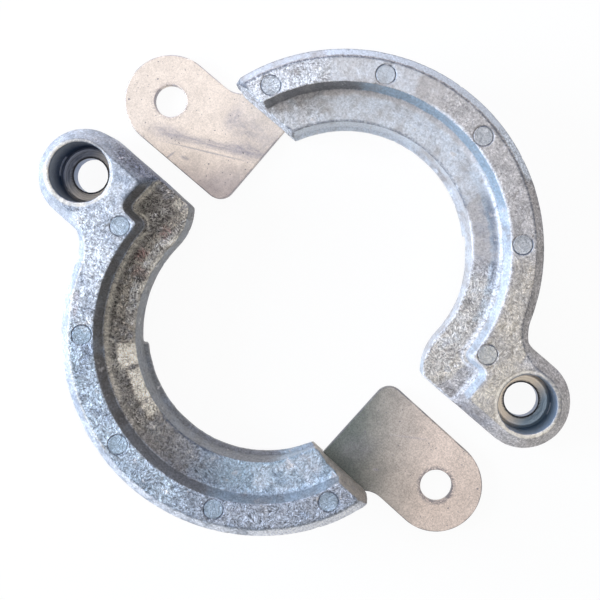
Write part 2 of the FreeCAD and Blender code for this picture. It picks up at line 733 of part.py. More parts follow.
def lay_out(pieces):
    """Lays the halves on the ground as a pair, with the origin under the middle."""
    for side, share in zip(HALVES, (-0.5, 0.5)):
        place = FreeCAD.Placement(
            FreeCAD.Vector(
                share * value("spacing_across"), share * value("spacing_along"), 0
            ),
            FreeCAD.Rotation(FreeCAD.Vector(0, 0, 1), value(f"{side}_angle")),
        )
        for body in pieces[side]:
            body.Placement = place
    doc.recompute()
    box = FreeCAD.BoundBox()
    for side in HALVES:
        for body in pieces[side]:
            box.add(body.Shape.optimalBoundingBox(False, False))
    shift = FreeCAD.Vector(-box.Center.x, -box.Center.y, 0)
    for side in HALVES:
        for body in pieces[side]:
            body.Placement.Base = body.Placement.Base + shift
    doc.recompute()


def check_and_export(bodies):
    """Stops on any failed object, then writes one file per piece."""
    for item in doc.Objects:
        if "Invalid" in item.State or "Error" in item.State:
            raise RuntimeError(f"{item.Label} did not compute: {item.State}")
    for body in bodies:
        shape = body.Shape
        if shape.isNull() or not shape.isValid() or len(shape.Solids) != 1:
            raise RuntimeError(f"{body.Label} is not one valid solid")
    os.makedirs("parts", exist_ok=True)
    for body in bodies:
        body.Shape.exportStep(f"parts/{body.Label}.step")
        box = body.Shape.BoundBox
        print(body.Label, round(body.Shape.Volume, 1), box)


doc = FreeCAD.newDocument("split_ring_anode")
sheet = doc.addObject("Spreadsheet::Sheet", "Sizes")
fill_sheet()
halves = {side: (build_casting(side), build_strap(side)) for side in HALVES}
lay_out(halves)
check_and_export([body for side in HALVES for body in halves[side]])
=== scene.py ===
"""Split ring anode for a drive leg: two loose half rings of cast zinc, each with a
steel strap cast into its underside."""

import math

import bmesh
import bpy
import numpy as np
from mathutils import Matrix, Vector, noise


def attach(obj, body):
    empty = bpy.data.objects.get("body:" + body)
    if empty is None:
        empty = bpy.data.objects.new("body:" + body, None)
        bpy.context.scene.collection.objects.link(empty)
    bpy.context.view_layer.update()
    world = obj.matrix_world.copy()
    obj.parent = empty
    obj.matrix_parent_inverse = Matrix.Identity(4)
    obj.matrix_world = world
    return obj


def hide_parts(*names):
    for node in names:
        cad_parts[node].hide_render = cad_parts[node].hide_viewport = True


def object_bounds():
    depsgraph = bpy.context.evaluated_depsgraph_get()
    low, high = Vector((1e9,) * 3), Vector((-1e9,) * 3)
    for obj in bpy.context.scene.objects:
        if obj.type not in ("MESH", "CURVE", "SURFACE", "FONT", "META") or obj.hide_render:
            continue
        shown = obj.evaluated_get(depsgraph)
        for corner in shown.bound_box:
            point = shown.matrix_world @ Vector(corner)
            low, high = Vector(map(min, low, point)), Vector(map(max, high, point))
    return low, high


bl_info = {
    "name": "Split ring anode",
    "version": (1, 0, 0),
    "blender": (4, 5, 0),
    "location": "View3D > Sidebar > Anode",
    "description": "Dresses the two halves of a split zinc ring anode",
    "category": "Object",
}

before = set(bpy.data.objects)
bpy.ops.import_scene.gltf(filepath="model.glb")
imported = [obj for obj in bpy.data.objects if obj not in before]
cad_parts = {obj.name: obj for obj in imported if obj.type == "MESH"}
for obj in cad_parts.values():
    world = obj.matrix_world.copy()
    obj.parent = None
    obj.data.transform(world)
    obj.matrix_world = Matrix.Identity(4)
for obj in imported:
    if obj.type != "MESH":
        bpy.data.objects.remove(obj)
CAD_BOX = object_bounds()

MM = 0.001

# Where each half lies on the ground: its ring axis in millimetres and its turn in degrees.
# In a half's own frame the ring axis is Z, the boss is on +X, the strap's tab on -X,
# the metal on +Y and the underside on z = 0.
PLACES = {"left": ((-13.0587, -12.2175), 137.87), "right": ((11.6413, 13.8325), -40.42)}

# Sizes of a casting that its finish follows, in millimetres and degrees.
TOP = 25.0
FLOOR = 16.5
BORE = 38.4
BOSS = 72.0
COUNTERBORE = 8.75
COUNTERBORE_FLOOR = 9.3
SCREW_HOLE = 5.3
TAB_HOLE = 5.0
MARK_CIRCLE = 52.7
MARK_RADIUS = 2.95
MARK_START = 3.9
MARK_STEP = 37.67
MARK_COUNT = 5


def linear(colour):
    """An sRGB hex colour as the linear red, green, blue and alpha that Blender works in."""
    parts = [int(colour[i : i + 2], 16) / 255 for i in (1, 3, 5)]
    return [v / 12.92 if v <= 0.04045 else ((v + 0.055) / 1.055) ** 2.4 for v in parts] + [1.0]


# Settings that a user would change


def length_setting(name, description, millimetres):
    """A length that a user can change."""
    return bpy.props.FloatProperty(
        name=name, description=description, default=millimetres * MM, unit="LENGTH"
    )


def number_setting(name, description, value):
    """A plain number that a user can change."""
    return bpy.props.FloatProperty(name=name, description=description, default=value)


def colour_setting(name, description, colour):
    """A colour that a user can change. Its default is given as sRGB hex."""
    return bpy.props.FloatVectorProperty(
        name=name, description=description, default=linear(colour), size=4, subtype="COLOR"
    )


class CastingSettings(bpy.types.PropertyGroup):
    grain: length_setting("Mesh grain", "Size of the mesh faces on a casting", 0.48)
    softening: bpy.props.IntProperty(
        name="Edge softening", description="Rounds of smoothing that round the cast edges", default=2
    )
    wave: length_setting("Waviness", "Depth of the long waves of a cast surface", 0.12)
    pit: length_setting("Pits", "Depth of the casting pits", 0.22)


class ZincSettings(bpy.types.PropertyGroup):
    pale: colour_setting("Pale zinc", "Bright bluish crystals of the left casting", "#D2D6DE")
    dull: colour_setting("Dull zinc", "Darker bluish crystals of the left casting", "#8B94A3")
    grey_pale: colour_setting("Pale grey zinc", "Bright crystals of the right casting", "#CAC5C4")
    grey_dull: colour_setting("Dull grey zinc", "Darker crystals of the right casting", "#A09C9C")
    warm: colour_setting("Warm film", "Brownish film where the mould was hottest", "#989087")
    # Painted shade on the flanks of the boss and on other sides that turn from the lamps.
    shade: colour_setting("Lilac shade", "Lilac grey skin on the sides of the boss", "#6E7382")
    # Painted light: the light blue of the right casting's walls and sides that face the lamps.
    frost: colour_setting("Frost", "Light blue skin on the lit channel wall", "#D3DAE4")
    # Painted shade on steep walls that turn from the lamps, and on floors beside and under a wall.
    dark: colour_setting("Dark film", "Mould dressing left on steep walls", "#7A7B7E")
    # Bluish skin, also used as painted shade on the right casting's floors beside a wall.
    cold: colour_setting("Cold skin", "Bluish skin that froze first", "#9AACBB")
    # Painted glare: bright spots on floors and tops, on the counterbore's rim, on the left casting's edges
    # and on curls in the warm film.
    cream: colour_setting("Cream", "Bright bare spots on the channel floor", "#F2EADC")
    # Painted highlight: the lit outer wall, the streak in each counterbore and the right casting's bright
    # edges.
    bare: colour_setting("Bare zinc", "Bright smooth skin outside the rim", "#F0F2FA")
    sand: colour_setting("Sand", "Sand-coloured film, most on the right boss", "#C2B9AD")
    # Painted shadow at the foot of the left channel's wall, and painted shade on that wall.
    soot: colour_setting("Soot", "Burnt mould dressing at the foot of the channel", "#57524F")
    rust: colour_setting("Stain", "Reddish stain in the channel", "#7E5A58")
    # Dirt in the rings of the ejector marks, and painted shade on the outer edges that turn from the lamps.
    grime_and_shade: colour_setting("Grime", "Dark dirt in the rings of the ejector marks", "#4B5566")
    # Painted shade: the left counterbore's wall, which turns from the lamps.
    turned_wall_shaded: colour_setting("Turned wall", "Wall of the counterbore", "#34506F")
    drilled: colour_setting("Drilled wall", "Wall of the screw hole", "#4F74AA")
    # Painted light: the right counterbore's wall, lit by the lamps and the sky.
    turned_wall_lit: colour_setting(
        "Bright turned wall", "Wall of the right counterbore, which mirrors the sky", "#4E6C8A"
    )
    # A near-black ring round the top of the screw hole.
    burr: colour_setting("Burr", "Dirt in the burr round the screw hole", "#23242E")
    # Painted shade: the left counterbore's floor, darker than the right one.
    turned_floor_shaded: colour_setting("Turned floor", "Floor of the left counterbore", "#BFB7B0")
    # Painted light: the right counterbore's floor, brightened against the shade of its depth.
    turned_floor_lit: colour_setting("Bright turned floor", "Floor of the right counterbore", "#FFEAD2")


class SteelSettings(bpy.types.PropertyGroup):
    edge: length_setting("Edge", "Width of the worn edge of a strap", 0.3)
    bright: colour_setting("Bright steel", "Clean steel of the right strap", "#DDCFC3")
    tan: colour_setting("Tan steel", "Clean steel of the left strap", "#CFBFB5")
    mid: colour_setting("Filmed steel", "Left strap halfway to its casting", "#A09993")
    film: colour_setting("Film", "Green-grey film on the left strap beside its casting", "#656B68")
    shade: colour_setting("Shade", "Lilac-grey film on the right strap's lower corner", "#B3A7A4")
    scuffed: colour_setting("Scuffed steel", "Steel where it was rubbed grey", "#97929A")
    cut_edge: colour_setting("Cut edge", "Dark worn edge of the strap", "#6A6870")


class StudioSettings(bpy.types.PropertyGroup):
    camera_height: length_setting("Camera height", "Camera above the ground", 348.4)
    lens: number_setting("Lens", "Focal length in millimetres on a 36 mm sensor", 65.88)
    sky: number_setting("Sky", "Level of the soft light from all round", 0.18)
    key: number_setting("Key lamp", "Power of the large soft lamp at the left, in watts", 13.0)
    rim: number_setting("Far lamp", "Power of the soft lamp beyond the top of the picture, in watts", 2.5)
    top: number_setting("Top lamp", "Power of the soft lamp overhead, in watts", 5.4)


# Small helpers


def place_of(side):
    """The matrix from a half's own frame to the row frame, in metres."""
    (x, y), turn = PLACES[side]
    return Matrix.Translation((x * MM, y * MM, 0)) @ Matrix.Rotation(math.radians(turn), 4, "Z")


def node_solid(node, side):
    """A merged copy of a CAD node's solid, in the half's own frame."""
    solid = bmesh.new()
    solid.from_mesh(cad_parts[node].data)
    bmesh.ops.remove_doubles(solid, verts=solid.verts, dist=0.001 * MM)
    bmesh.ops.transform(solid, matrix=place_of(side).inverted(), verts=solid.verts)
    bmesh.ops.recalc_face_normals(solid, faces=solid.faces)
    return solid


def new_piece(name, solid):
    """A mesh object made of a bmesh, which it uses up."""
    mesh = bpy.data.meshes.new(name)
    solid.to_mesh(mesh)
    solid.free()
    piece = bpy.data.objects.new(name, mesh)
    bpy.context.scene.collection.objects.link(piece)
    return piece


def finish_piece(piece, side, node, material):
    """Puts a finished piece into the row frame, in place of its CAD node."""
    piece.data.transform(place_of(side))
    keep_inside(piece.data)
    piece.data.materials.clear()
    piece.data.materials.append(material)
    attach(piece, "root")
    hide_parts(node)


def read_points(mesh):
    points = np.empty(len(mesh.vertices) * 3)
    mesh.vertices.foreach_get("co", points)
    return points.reshape(-1, 3)


def write_points(mesh, points):
    mesh.vertices.foreach_set("co", points.ravel())
    mesh.update()


def keep_inside(mesh):
    """Holds every point of a piece within the box of the CAD model."""
    points = read_points(mesh)
    write_points(mesh, np.clip(points, np.array(CAD_BOX[0]), np.array(CAD_BOX[1])))


def rise(values, low, high):
    """A soft step: 0 below low, 1 above high."""
    t = np.clip((values - low) / (high - low), 0, 1)
    return t * t * (3 - 2 * t)


def band(values, low, high, soft):
    """1 between low and high, falling softly to 0 outside."""
    return rise(values, low - soft, low) * (1 - rise(values, high, high + soft))


def ripple(points, size, seed):
    """Smooth noise from -1 to 1 at each point, with bumps of about this size."""
    shift = Vector((seed * 7.3, seed * 3.1, seed * 5.7))
    return np.array([noise.noise(Vector(p) / size + shift) for p in points])


# Castings


# Soft steps that bound the parts of a casting's surface: where each starts and ends, in
# millimetres, or for the first two as the upward share of the way a point faces.
FACES_UP = (0.7, 0.9)
FACES_LEVEL = (0.4, 0.7)
ABOVE_LEDGE = (10.0, 12.0)
ABOVE_FLOOR = (FLOOR + 1.0, FLOOR + 2.0)
AT_TOP = (TOP - 1.6, TOP - 0.9)
OUT_OF_BORE = (41.0, 42.0)
OUT_OF_CHANNEL = (57.5, 58.5)
OUT_OF_RIM = (57.0, 57.6)

# The first and last angle about the bolt of the painted highlight, a bright streak, on each counterbore's
# wall.
GLEAMS = {"left": (5, 42), "right": (12, 34)}
GLEAM_HEIGHTS = (10.8, 12.2)


class Shape:
    """Where each point of a casting lies, in millimetres and degrees of the half's frame."""

    def __init__(self, mesh):
        self.points = read_points(mesh) / MM
        self.x, self.y, self.z = self.points.T
        self.radius = np.hypot(self.x, self.y)
        self.angle = np.degrees(np.arctan2(self.y, self.x))
        self.from_bolt = np.hypot(self.x - BOSS, self.y)
        facing = np.empty(len(mesh.vertices) * 3)
        mesh.vertex_normals.foreach_get("vector", facing)
        self.facing = facing.reshape(-1, 3)
        self.bend = self.find_bend(mesh)

    def find_bend(self, mesh):
        """How far each point stands out from its neighbours: above 0 on an outer edge,
        below 0 in a corner."""
        ends = np.empty(len(mesh.edges) * 2, int)
        mesh.edges.foreach_get("vertices", ends)
        first, second = ends.reshape(-1, 2).T
        step = self.points[second] - self.points[first]
        count = np.bincount(ends, minlength=len(self.points))
        out = np.bincount(first, (step * self.facing[first]).sum(1), len(self.points))
        back = np.bincount(second, (step * self.facing[second]).sum(1), len(self.points))
        return (back - out) / count

    def machined(self):
        """The drilled and counterbored part of the boss."""
        inside = 1 - rise(self.from_bolt, COUNTERBORE + 0.1, COUNTERBORE + 0.4)
        return inside * (1 - rise(self.z, TOP - 0.5, TOP - 0.1))

    def gleam(self, side):
        """A painted highlight: a bright streak on the counterbore's wall."""
        first, last = GLEAMS[side]
        around = np.degrees(np.arctan2(self.y, self.x - BOSS))
        low = band(self.z, *GLEAM_HEIGHTS, 0.6)
        return band(around, first, last, 4) * low * band(self.from_bolt, 8.0, 9.4, 0.3)

    def surfaces(self):
        """Soft masks of the parts of the cast skin, by the names that PATCHES uses."""
        up = rise(self.facing[:, 2], *FACES_UP)
        level = rise(self.facing[:, 2], *FACES_LEVEL)
        steep = 1 - up
        cast = 1 - self.machined()
        ledge = 1 - rise(self.z, *ABOVE_LEDGE)
        low = 1 - rise(self.z, *ABOVE_FLOOR)
        near_bore = 1 - rise(self.radius, *OUT_OF_BORE)
        inner = 1 - rise(self.radius, *OUT_OF_CHANNEL)
        boss_side = self.boss_side() * steep * cast
        outside = rise(self.radius, *OUT_OF_RIM) * (1 - boss_side)
        end = self.split_face()
        return {
            "top": up * rise(self.z, *AT_TOP) * cast,
            "floor": level * low * (1 - ledge) * inner * cast,
            "wall": (1 - level) * inner * cast * (1 - near_bore) * (1 - boss_side) * (1 - end),
            "bore": np.maximum(1 - level, ledge) * low * near_bore * (1 - end),
            "boss_side": boss_side,
            "outside": np.maximum(steep, 1 - rise(self.z, 20, 22)) * outside * cast * (1 - end),
            "end": end * cast,
        }

    def boss_side(self):
        """The flank of the boss that turns to the other half."""
        side = rise(self.radius, 51.0, 55.0) * (1 - rise(self.y, -13, -8))
        return side * (1 - rise(self.x, 64, 76))

    def split_face(self):
        """The upright face at the tab end."""
        face = rise(-self.facing[:, 1], 0.5, 0.75) * (self.x < 0)
        return face * rise(self.y, 14.0, 15.0) * (1 - rise(self.y, 18.6, 19.4))

    def counterbore_rim(self):
        """The rim round the counterbore, on the top face: worn smooth, with a painted highlight."""
        around = band(self.from_bolt, COUNTERBORE - 0.15, COUNTERBORE + 1.15, 0.5)
        return around * rise(self.z, TOP - 1, TOP - 0.6)

    def hole_burr(self):
        """The burr round the screw hole, on the counterbore's floor."""
        around = 1 - rise(self.from_bolt, SCREW_HOLE + 0.4, SCREW_HOLE + 0.8)
        return around * band(self.z, COUNTERBORE_FLOOR - 0.6, COUNTERBORE_FLOOR + 0.3, 0.4)

    def channel_foot(self):
        """The corner between the channel's wall and floor, round the boss end."""
        corner = rise(-self.bend, 0.003, 0.01) * band(self.z, FLOOR + 0.2, FLOOR + 0.7, 0.25)
        return corner * (1 - rise(self.radius, *OUT_OF_CHANNEL)) * band(self.angle, -60, 60, 25)


def remesh_casting(piece, grain):
    """Turns the CAD solid into an even mesh that can be worked like a cast surface."""
    voxels = piece.modifiers.new("even_mesh", "REMESH")
    voxels.mode = "VOXEL"
    voxels.voxel_size = grain
    voxels.use_smooth_shade = True
    depsgraph = bpy.context.evaluated_depsgraph_get()
    even = bpy.data.meshes.new_from_object(piece.evaluated_get(depsgraph))
    piece.modifiers.clear()
    piece.data = even


def soften_edges(mesh, rounds):
    """Rounds the edges as a mould does."""
    skin = bmesh.new()
    skin.from_mesh(mesh)
    for _ in range(rounds):
        bmesh.ops.smooth_vert(
            skin, verts=skin.verts, factor=0.5, use_axis_x=True, use_axis_y=True, use_axis_z=True
        )
    for face in skin.faces:
        face.smooth = True
    skin.to_mesh(mesh)
    skin.free()


# The nub of flash left at the tab end of each casting: where, and how far it stands out.
NUBS = {"left": ((-58.4, 17.4), 0.2), "right": ((-57.0, 16.6), 1.3)}
NUB_RADIUS = 1.3


def lean_left(shape, points):
    """The left casting: its boss and counterbore lean out, and its split face and the
    outer corner of it stand forward. Lengths in millimetres."""
    boss_shift = (0.45, 0.3)
    bore_shift = (0.2, -0.44)
    bore_tilt = 0.42
    bore_widening = 0.018
    face_shift = 0.95
    face_shift_inside = 1.1
    corner_place = (-56.2, 16.6)
    corner_radius = 1.9
    corner_shift = 1.5
    corner_fall = 0.6
    at_boss = rise(shape.x, 55, 68)
    in_bore = 1 - rise(shape.from_bolt, 9.0, 10.4)
    height = np.clip((shape.z - COUNTERBORE_FLOOR) / (TOP - COUNTERBORE_FLOOR), 0, 1)
    wider = bore_widening * band(shape.from_bolt, 8.0, 9.4, 0.9)
    face = (shape.x < 0) * (1 - rise(shape.y, 18.6, 27)) * rise(shape.z, 5, 14)
    corner = np.hypot(shape.x - corner_place[0], shape.y - corner_place[1]) / corner_radius
    corner = np.exp(-corner * corner) * (1 - rise(shape.z, 19.5, 23)) * rise(shape.z, 1, 2)
    points[:, 0] += boss_shift[0] * at_boss + wider * (shape.x - BOSS)
    points[:, 0] += in_bore * (bore_shift[0] - bore_tilt * height)
    points[:, 0] -= (corner_shift - corner_fall * rise(shape.z, 3, 10)) * corner
    points[:, 1] += boss_shift[1] * at_boss + wider * shape.y
    points[:, 1] += in_bore * bore_shift[1]
    points[:, 1] -= (face_shift + face_shift_inside * rise(shape.x, -42, -35)) * face


def lean_right(shape, points):
    """The right casting: its boss leans in, and its bottom lip runs in softly."""
    boss_shift = 1.0
    lip_shift = 0.7
    points[:, 0] -= boss_shift * rise(shape.x, 55, 68) * np.clip(shape.z / TOP, 0, 1)
    run_in = band(shape.angle, 40, 46.5, 24) * (1 - rise(shape.z, 3, 12))
    run_in = run_in * (1 - rise(shape.radius, 38.6, 40.5)) * rise(shape.radius, 37.2, 38.2)
    points[:, :2] *= (1 - lip_shift / BORE * run_in)[:, None]


def lean_casting(mesh, side):
    """The two castings came out a little different, most at the boss and the lip."""
    shape = Shape(mesh)
    points = shape.points.copy()
    lean = lean_left if side == "left" else lean_right
    lean(shape, points)
    (x, y), reach = NUBS[side]
    nub = np.hypot(shape.x - x, shape.y - y) / NUB_RADIUS
    out = np.exp(-nub * nub) * rise(shape.z, 9, 12) * (1 - rise(shape.z, 17, 21))
    points[:, 0] -= reach * out
    points[:, 1] -= 0.5 * reach * out
    write_points(mesh, points * MM)


def roughen_casting(mesh, settings, side):
    """Long waves, short swirls and pits of a cast surface."""
    wave_size = 6.5
    swirl_size = 2.2
    pit_size = 1.6
    shape = Shape(mesh)
    seed = 1 if side == "left" else 2
    waves = (ripple(shape.points, wave_size, seed) - 1) * 0.5 * settings.wave / MM
    swirls = (ripple(shape.points, swirl_size, seed + 10) - 1) * 0.25 * settings.wave / MM
    pits = rise(ripple(shape.points, pit_size, seed + 20), 0.36, 0.6) * -settings.pit / MM
    depth = (waves + swirls + pits) * (1 - shape.machined())
    write_points(mesh, (shape.points + shape.facing * depth[:, None]) * MM)


def paint(mesh, name, values):
    """Keeps one number for each point, which the material reads."""
    layer = mesh.attributes.new(name, "FLOAT", "POINT")
    layer.data.foreach_set("value", np.clip(values, 0, 1).astype(np.float32))


# Patches of film and stain, and of painted light where a side faces the lamps and painted
# shade where it turns from them and beside and under the walls, as they lie on each casting:
# the surface, the tint, the first and last angle, the inner and outer radius, the strength,
# and how far in degrees it fades.
LEFT_PATCHES = (
    ("floor", "warm", -60, 84, 30, 56, 0.85, 30),
    ("floor", "shade", 84, 112, 36, 50, 0.45, 8),
    ("floor", "dark", 84, 106, 36, 50, 0.35, 8),
    ("floor", "dark", 44, 84, 43.5, 54, 0.5, 8),
    ("floor", "soot", -10, 38, 45.3, 54, 0.75, 8),
    ("floor", "soot", 40, 100, 46.2, 54, 0.4, 8),
    ("floor", "pale", -12, 34, 38, 41.6, 0.36, 8),
    ("floor", "cream", 47, 54, 38.5, 43.5, 1.0, 3),
    ("floor", "cream", 57.6, 70, 38, 41.6, 0.95, 2),
    ("floor", "cream", 66, 76, 39, 42, 0.6, 4),
    ("floor", "sand", 72, 86, 45.2, 49, 0.55, 5),
    ("floor", "cream", -24, -16, 40, 48, 0.45, 6),
    ("floor", "cream", -10, 22, 36, 39.5, 0.45, 6),
    ("floor", "rust", 7, 10, 43, 45, 0.55, 3),
    ("floor", "rust", 14, 17, 39, 44, 0.5, 3),
    ("floor", "rust", -6, -3, 42, 44, 0.5, 3),
    ("floor", "cold", 112, 175, 36, 54, 0.75, 16),
    ("floor", "shade", 146, 175, 36, 46, 0.3, 8),
    ("floor", "pale", 132, 152, 40, 47, 0.4, 8),
    ("top", "pale", 8, 34, 50, 58, 0.6, 8),
    ("top", "pale", -20, 6, 56, 66, 0.35, 8),
    ("top", "cold", 40, 108, 50, 57, 0.5, 14),
    ("top", "cold", 84, 97, 54, 57, 0.6, 5),
    ("top", "cold", 38, 56, 55, 57, 0.6, 5),
    ("top", "shade", 84, 96, 52, 56, 0.3, 6),
    ("top", "shade", 110, 175, 49, 58, 0.46, 14),
    ("top", "rust", 30, 35, 55, 57, 0.35, 4),
    ("wall", "dark", -60, 108, 30, 64, 0.85, 12),
    ("wall", "soot", -60, 70, 30, 64, 0.42, 16),
    ("wall", "cold", 112, 175, 40, 60, 0.9, 6),
    ("wall", "dark", 112, 175, 40, 60, 0.5, 6),
    ("bore", "dark", -60, 134, 30, 44, 0.75, 10),
    ("bore", "shade", -60, 134, 30, 44, 0.6, 10),
    ("bore", "cold", 140, 175, 30, 44, 0.6, 10),
    ("outside", "pale", 70, 88, 56, 62, 0.6, 8),
    ("outside", "bare", 92, 126, 56, 62, 0.45, 8),
    ("outside", "bare", 130, 175, 56, 62, 0.95, 4),
    ("boss_side", "shade", -80, 60, 50, 90, 0.9, 6),
    ("end", "warm", 90, 180, 36, 62, 0.9, 6),
    ("end", "sand", 90, 180, 36, 62, 0.55, 6),
)
RIGHT_PATCHES = (
    ("floor", "warm", -60, 10, 34, 56, 0.25, 8),
    ("floor", "sand", -60, 26, 34, 50, 0.6, 8),
    ("floor", "dark", 140, 150, 46.5, 49, 0.5, 5),
    ("floor", "dark", 60, 68, 38, 39.2, 0.5, 4),
    ("floor", "cold", 16, 68, 44.6, 50, 0.5, 10),
    ("floor", "shade", 28, 62, 45.4, 50, 0.5, 8),
    ("floor", "shade", 34, 62, 36, 45, 0.3, 10),
    ("floor", "pale", 66, 142, 36, 46, 0.56, 12),
    ("floor", "pale", -60, 28, 36, 46, 0.25, 10),
    ("floor", "pale", 150, 175, 36, 50, 0.36, 6),
    ("top", "sand", -60, 4, 58, 90, 0.75, 6),
    ("top", "sand", 2, 34, 51, 62, 0.65, 6),
    ("top", "cream", -12, -6, 57, 62, 0.36, 6),
    ("top", "sand", 126, 140, 51, 55, 0.4, 4),
    ("top", "pale", 110, 175, 49, 58, 0.5, 10),
    ("top", "bare", 142, 175, 49, 58, 0.4, 6),
    ("wall", "cold", 50, 122, 40, 64, 0.85, 12),
    ("wall", "cold", -60, 50, 40, 64, 0.62, 6),
    ("wall", "frost", -60, 50, 40, 64, 0.5, 14),
    ("wall", "frost", 16, 36, 44, 64, 0.75, 8),
    ("wall", "dark", 128, 175, 40, 60, 0.8, 10),
    ("bore", "frost", -60, 98, 30, 44, 0.46, 12),
    ("bore", "frost", 98, 175, 30, 44, 0.85, 12),
    ("outside", "shade", 11, 58, 54, 90, 0.16, 8),
    ("outside", "frost", 64, 132, 54, 62, 1.0, 8),
    ("outside", "frost", 132, 175, 54, 62, 0.5, 8),
    ("boss_side", "shade", -80, 60, 50, 90, 0.45, 6),
    ("end", "frost", 90, 180, 36, 62, 0.7, 6),
)
PATCHES = {"left": LEFT_PATCHES, "right": RIGHT_PATCHES}

# How strongly the crystals show on each part: surface, first and last angle, strength.
LEFT_GRAIN = (
    ("top", -60, 2, 0.3),
    ("top", 4, 40, 0.56),
    ("top", 40, 180, 0.66),
    ("floor", -60, 44, 0.95),
    ("floor", 44, 82, 1.0),
    ("floor", 82, 118, 0.5),
    ("floor", 118, 180, 0.42),
    ("wall", -60, 180, 0.2),
    ("bore", -60, 180, 0.2),
    ("boss_side", -60, 60, 0.75),
    ("outside", -60, 180, 0.22),
    ("end", 90, 180, 0.12),
)
RIGHT_GRAIN = (
    ("top", -60, 48, 0.36),
    ("top", 48, 100, 0.28),
    ("top", 100, 138, 0.08),
    ("top", 138, 180, 0.52),
    ("floor", -60, 38, 0.5),
    ("floor", 38, 142, 0.1),
    ("floor", 142, 180, 0.24),
    ("wall", -60, 180, 0.12),
    ("bore", -60, 180, 0.05),
    ("outside", -60, 80, 0.4),
    ("outside", 80, 180, 0.06),
    ("end", 90, 180, 0.6),
)
GRAIN = {"left": LEFT_GRAIN, "right": RIGHT_GRAIN}
# The tints in the order they are laid on: film and stain, and painted light and shade.
TINTS = ("warm", "sand", "cold", "shade", "dark", "soot", "frost", "pale", "bare", "rust", "cream")

# Where the outer edges that face the lamps get a painted highlight, and where those that
# turn from them get painted shade: inner and outer radius, first and last angle, strength.
BRIGHT_EDGES = {
    "left": ((55, 60, 5, 75, 0.7), (36, 41, -40, 60, 0.5)),
    "right": ((44, 56, -60, 95, 0.9), (36, 41, -60, 50, 0.8)),
}
DARK_EDGES = {
    "left": ((55, 60, 88, 165, 0.35), (36, 41, 84, 106, 0.9), (57, 90, -40, -6, 0.6)),
    "right": ((55, 60, 46, 170, 0.8), (36, 41, 62, 160, 0.6), (57, 90, 4, 40, 0.7)),
}


# How strongly the painted highlight line at the channel's foot and the painted glare on the counterbore's
# rim show.
FOOT = {"left": 0.9, "right": 0.7}
RIM_GLARE = 0.55


def edge_areas(shape, areas):
    """The outer edges within the given areas."""
    strength = np.zeros(len(shape.z))
    for inner, outer, first, last, level in areas:
        area = band(shape.radius, inner, outer, 0.5) * band(shape.angle, first, last, 8)
        strength = np.maximum(strength, area * level)
    return strength * rise(shape.bend, 0.006, 0.024) * rise(shape.z, 4, 6)


def tint_areas(shape, surfaces, side):
    """How strongly each tint lies on each point."""
    tints = {name: np.zeros(len(shape.z)) for name in TINTS}
    for surface, tint, first, last, inner, outer, strength, soft in PATCHES[side]:
        area = band(shape.angle, first, last, soft) * band(shape.radius, inner, outer, 1.6)
        tints[tint] = np.maximum(tints[tint], area * surfaces[surface] * strength)
    # Painted glare on the counterbore's rim, and the painted highlight streak on its wall.
    tints["cream"] = np.maximum(tints["cream"], shape.counterbore_rim() * RIM_GLARE)
    tints["bare"] = np.maximum(tints["bare"], shape.gleam(side))
    return tints


def grain_areas(shape, surfaces, side):
    """How strongly the crystals show at each point."""
    grain = np.full(len(shape.z), 0.4)
    for surface, first, last, strength in GRAIN[side]:
        area = band(shape.angle, first, last, 6.0) * surfaces[surface]
        grain = grain + (strength - grain) * area
    return grain


def paint_casting(mesh, side):
    """Writes the tints, the grain, the edges and the machined part for the material."""
    shape = Shape(mesh)
    surfaces = shape.surfaces()
    machined = shape.machined()
    cast = 1 - machined
    tints = tint_areas(shape, surfaces, side)
    for name, values in tints.items():
        paint(mesh, name, values)
    # Less grain on the counterbore's rim, worn smooth, and under the painted glare.
    worn = (1 - 0.8 * shape.counterbore_rim()) * (1 - 0.5 * tints["cream"])
    paint(mesh, "grain", grain_areas(shape, surfaces, side) * cast * worn)
    # Painted highlights on the outer edges that face the lamps and along the channel's foot.
    rubbed = np.maximum(edge_areas(shape, BRIGHT_EDGES[side]), shape.channel_foot() * FOOT[side])
    paint(mesh, "edge", rubbed * cast)
    # Painted shade on the outer edges that turn from the lamps.
    paint(mesh, "line", edge_areas(shape, DARK_EDGES[side]) * cast)
    paint(mesh, "machined", machined * (1 - shape.gleam(side)))
    paint(mesh, "burr", shape.hole_burr())


# Materials


def add_node(tree, kind, inputs=(), **settings):
    """Adds a node, with its settings, its input values and the links into it. An input
    given as a node is linked to that node's first output in use."""
    node = tree.nodes.new("ShaderNode" + kind)
    for name, setting in settings.items():
        setattr(node, name, setting)
    for key, given in dict(inputs).items():
        if isinstance(given, bpy.types.Node):
            given = [socket for socket in given.outputs if socket.enabled][0]
        if isinstance(given, bpy.types.NodeSocket):
            tree.links.new(given, node.inputs[key])
        else:
            node.inputs[key].default_value = given
    return node


# Input numbers of a colour mix: its share, and the colours at 0 and at 1.
SHARE, AT_0, AT_1 = 0, 6, 7


def new_material(name):
    """An empty material and its node tree."""
    material = bpy.data.materials.new(name)
    material.use_nodes = True
    material.node_tree.nodes.clear()
    return material, material.node_tree


def half_coordinates(tree, side):
    """Object coordinates turned into the half's own frame."""
    (x, y), turn = PLACES[side]
    place = add_node(tree, "TexCoord").outputs["Object"]
    where = {"Location": (x * MM, y * MM, 0), "Rotation": (0, 0, math.radians(turn))}
    return add_node(tree, "Mapping", {"Vector": place, **where}, vector_type="TEXTURE")


def per_size(millimetres):
    """Texture scale at which a pattern's feature has this size."""
    return 1 / (millimetres * MM)


def stack_layers(tree, colour, layers):
    """Lays layers over a colour, each with its share, its colour and its blending."""
    for share, layer, blending in layers:
        colour = add_node(
            tree, "Mix", {SHARE: share, AT_0: colour, AT_1: layer}, data_type="RGBA", blend_type=blending
        )
    return colour


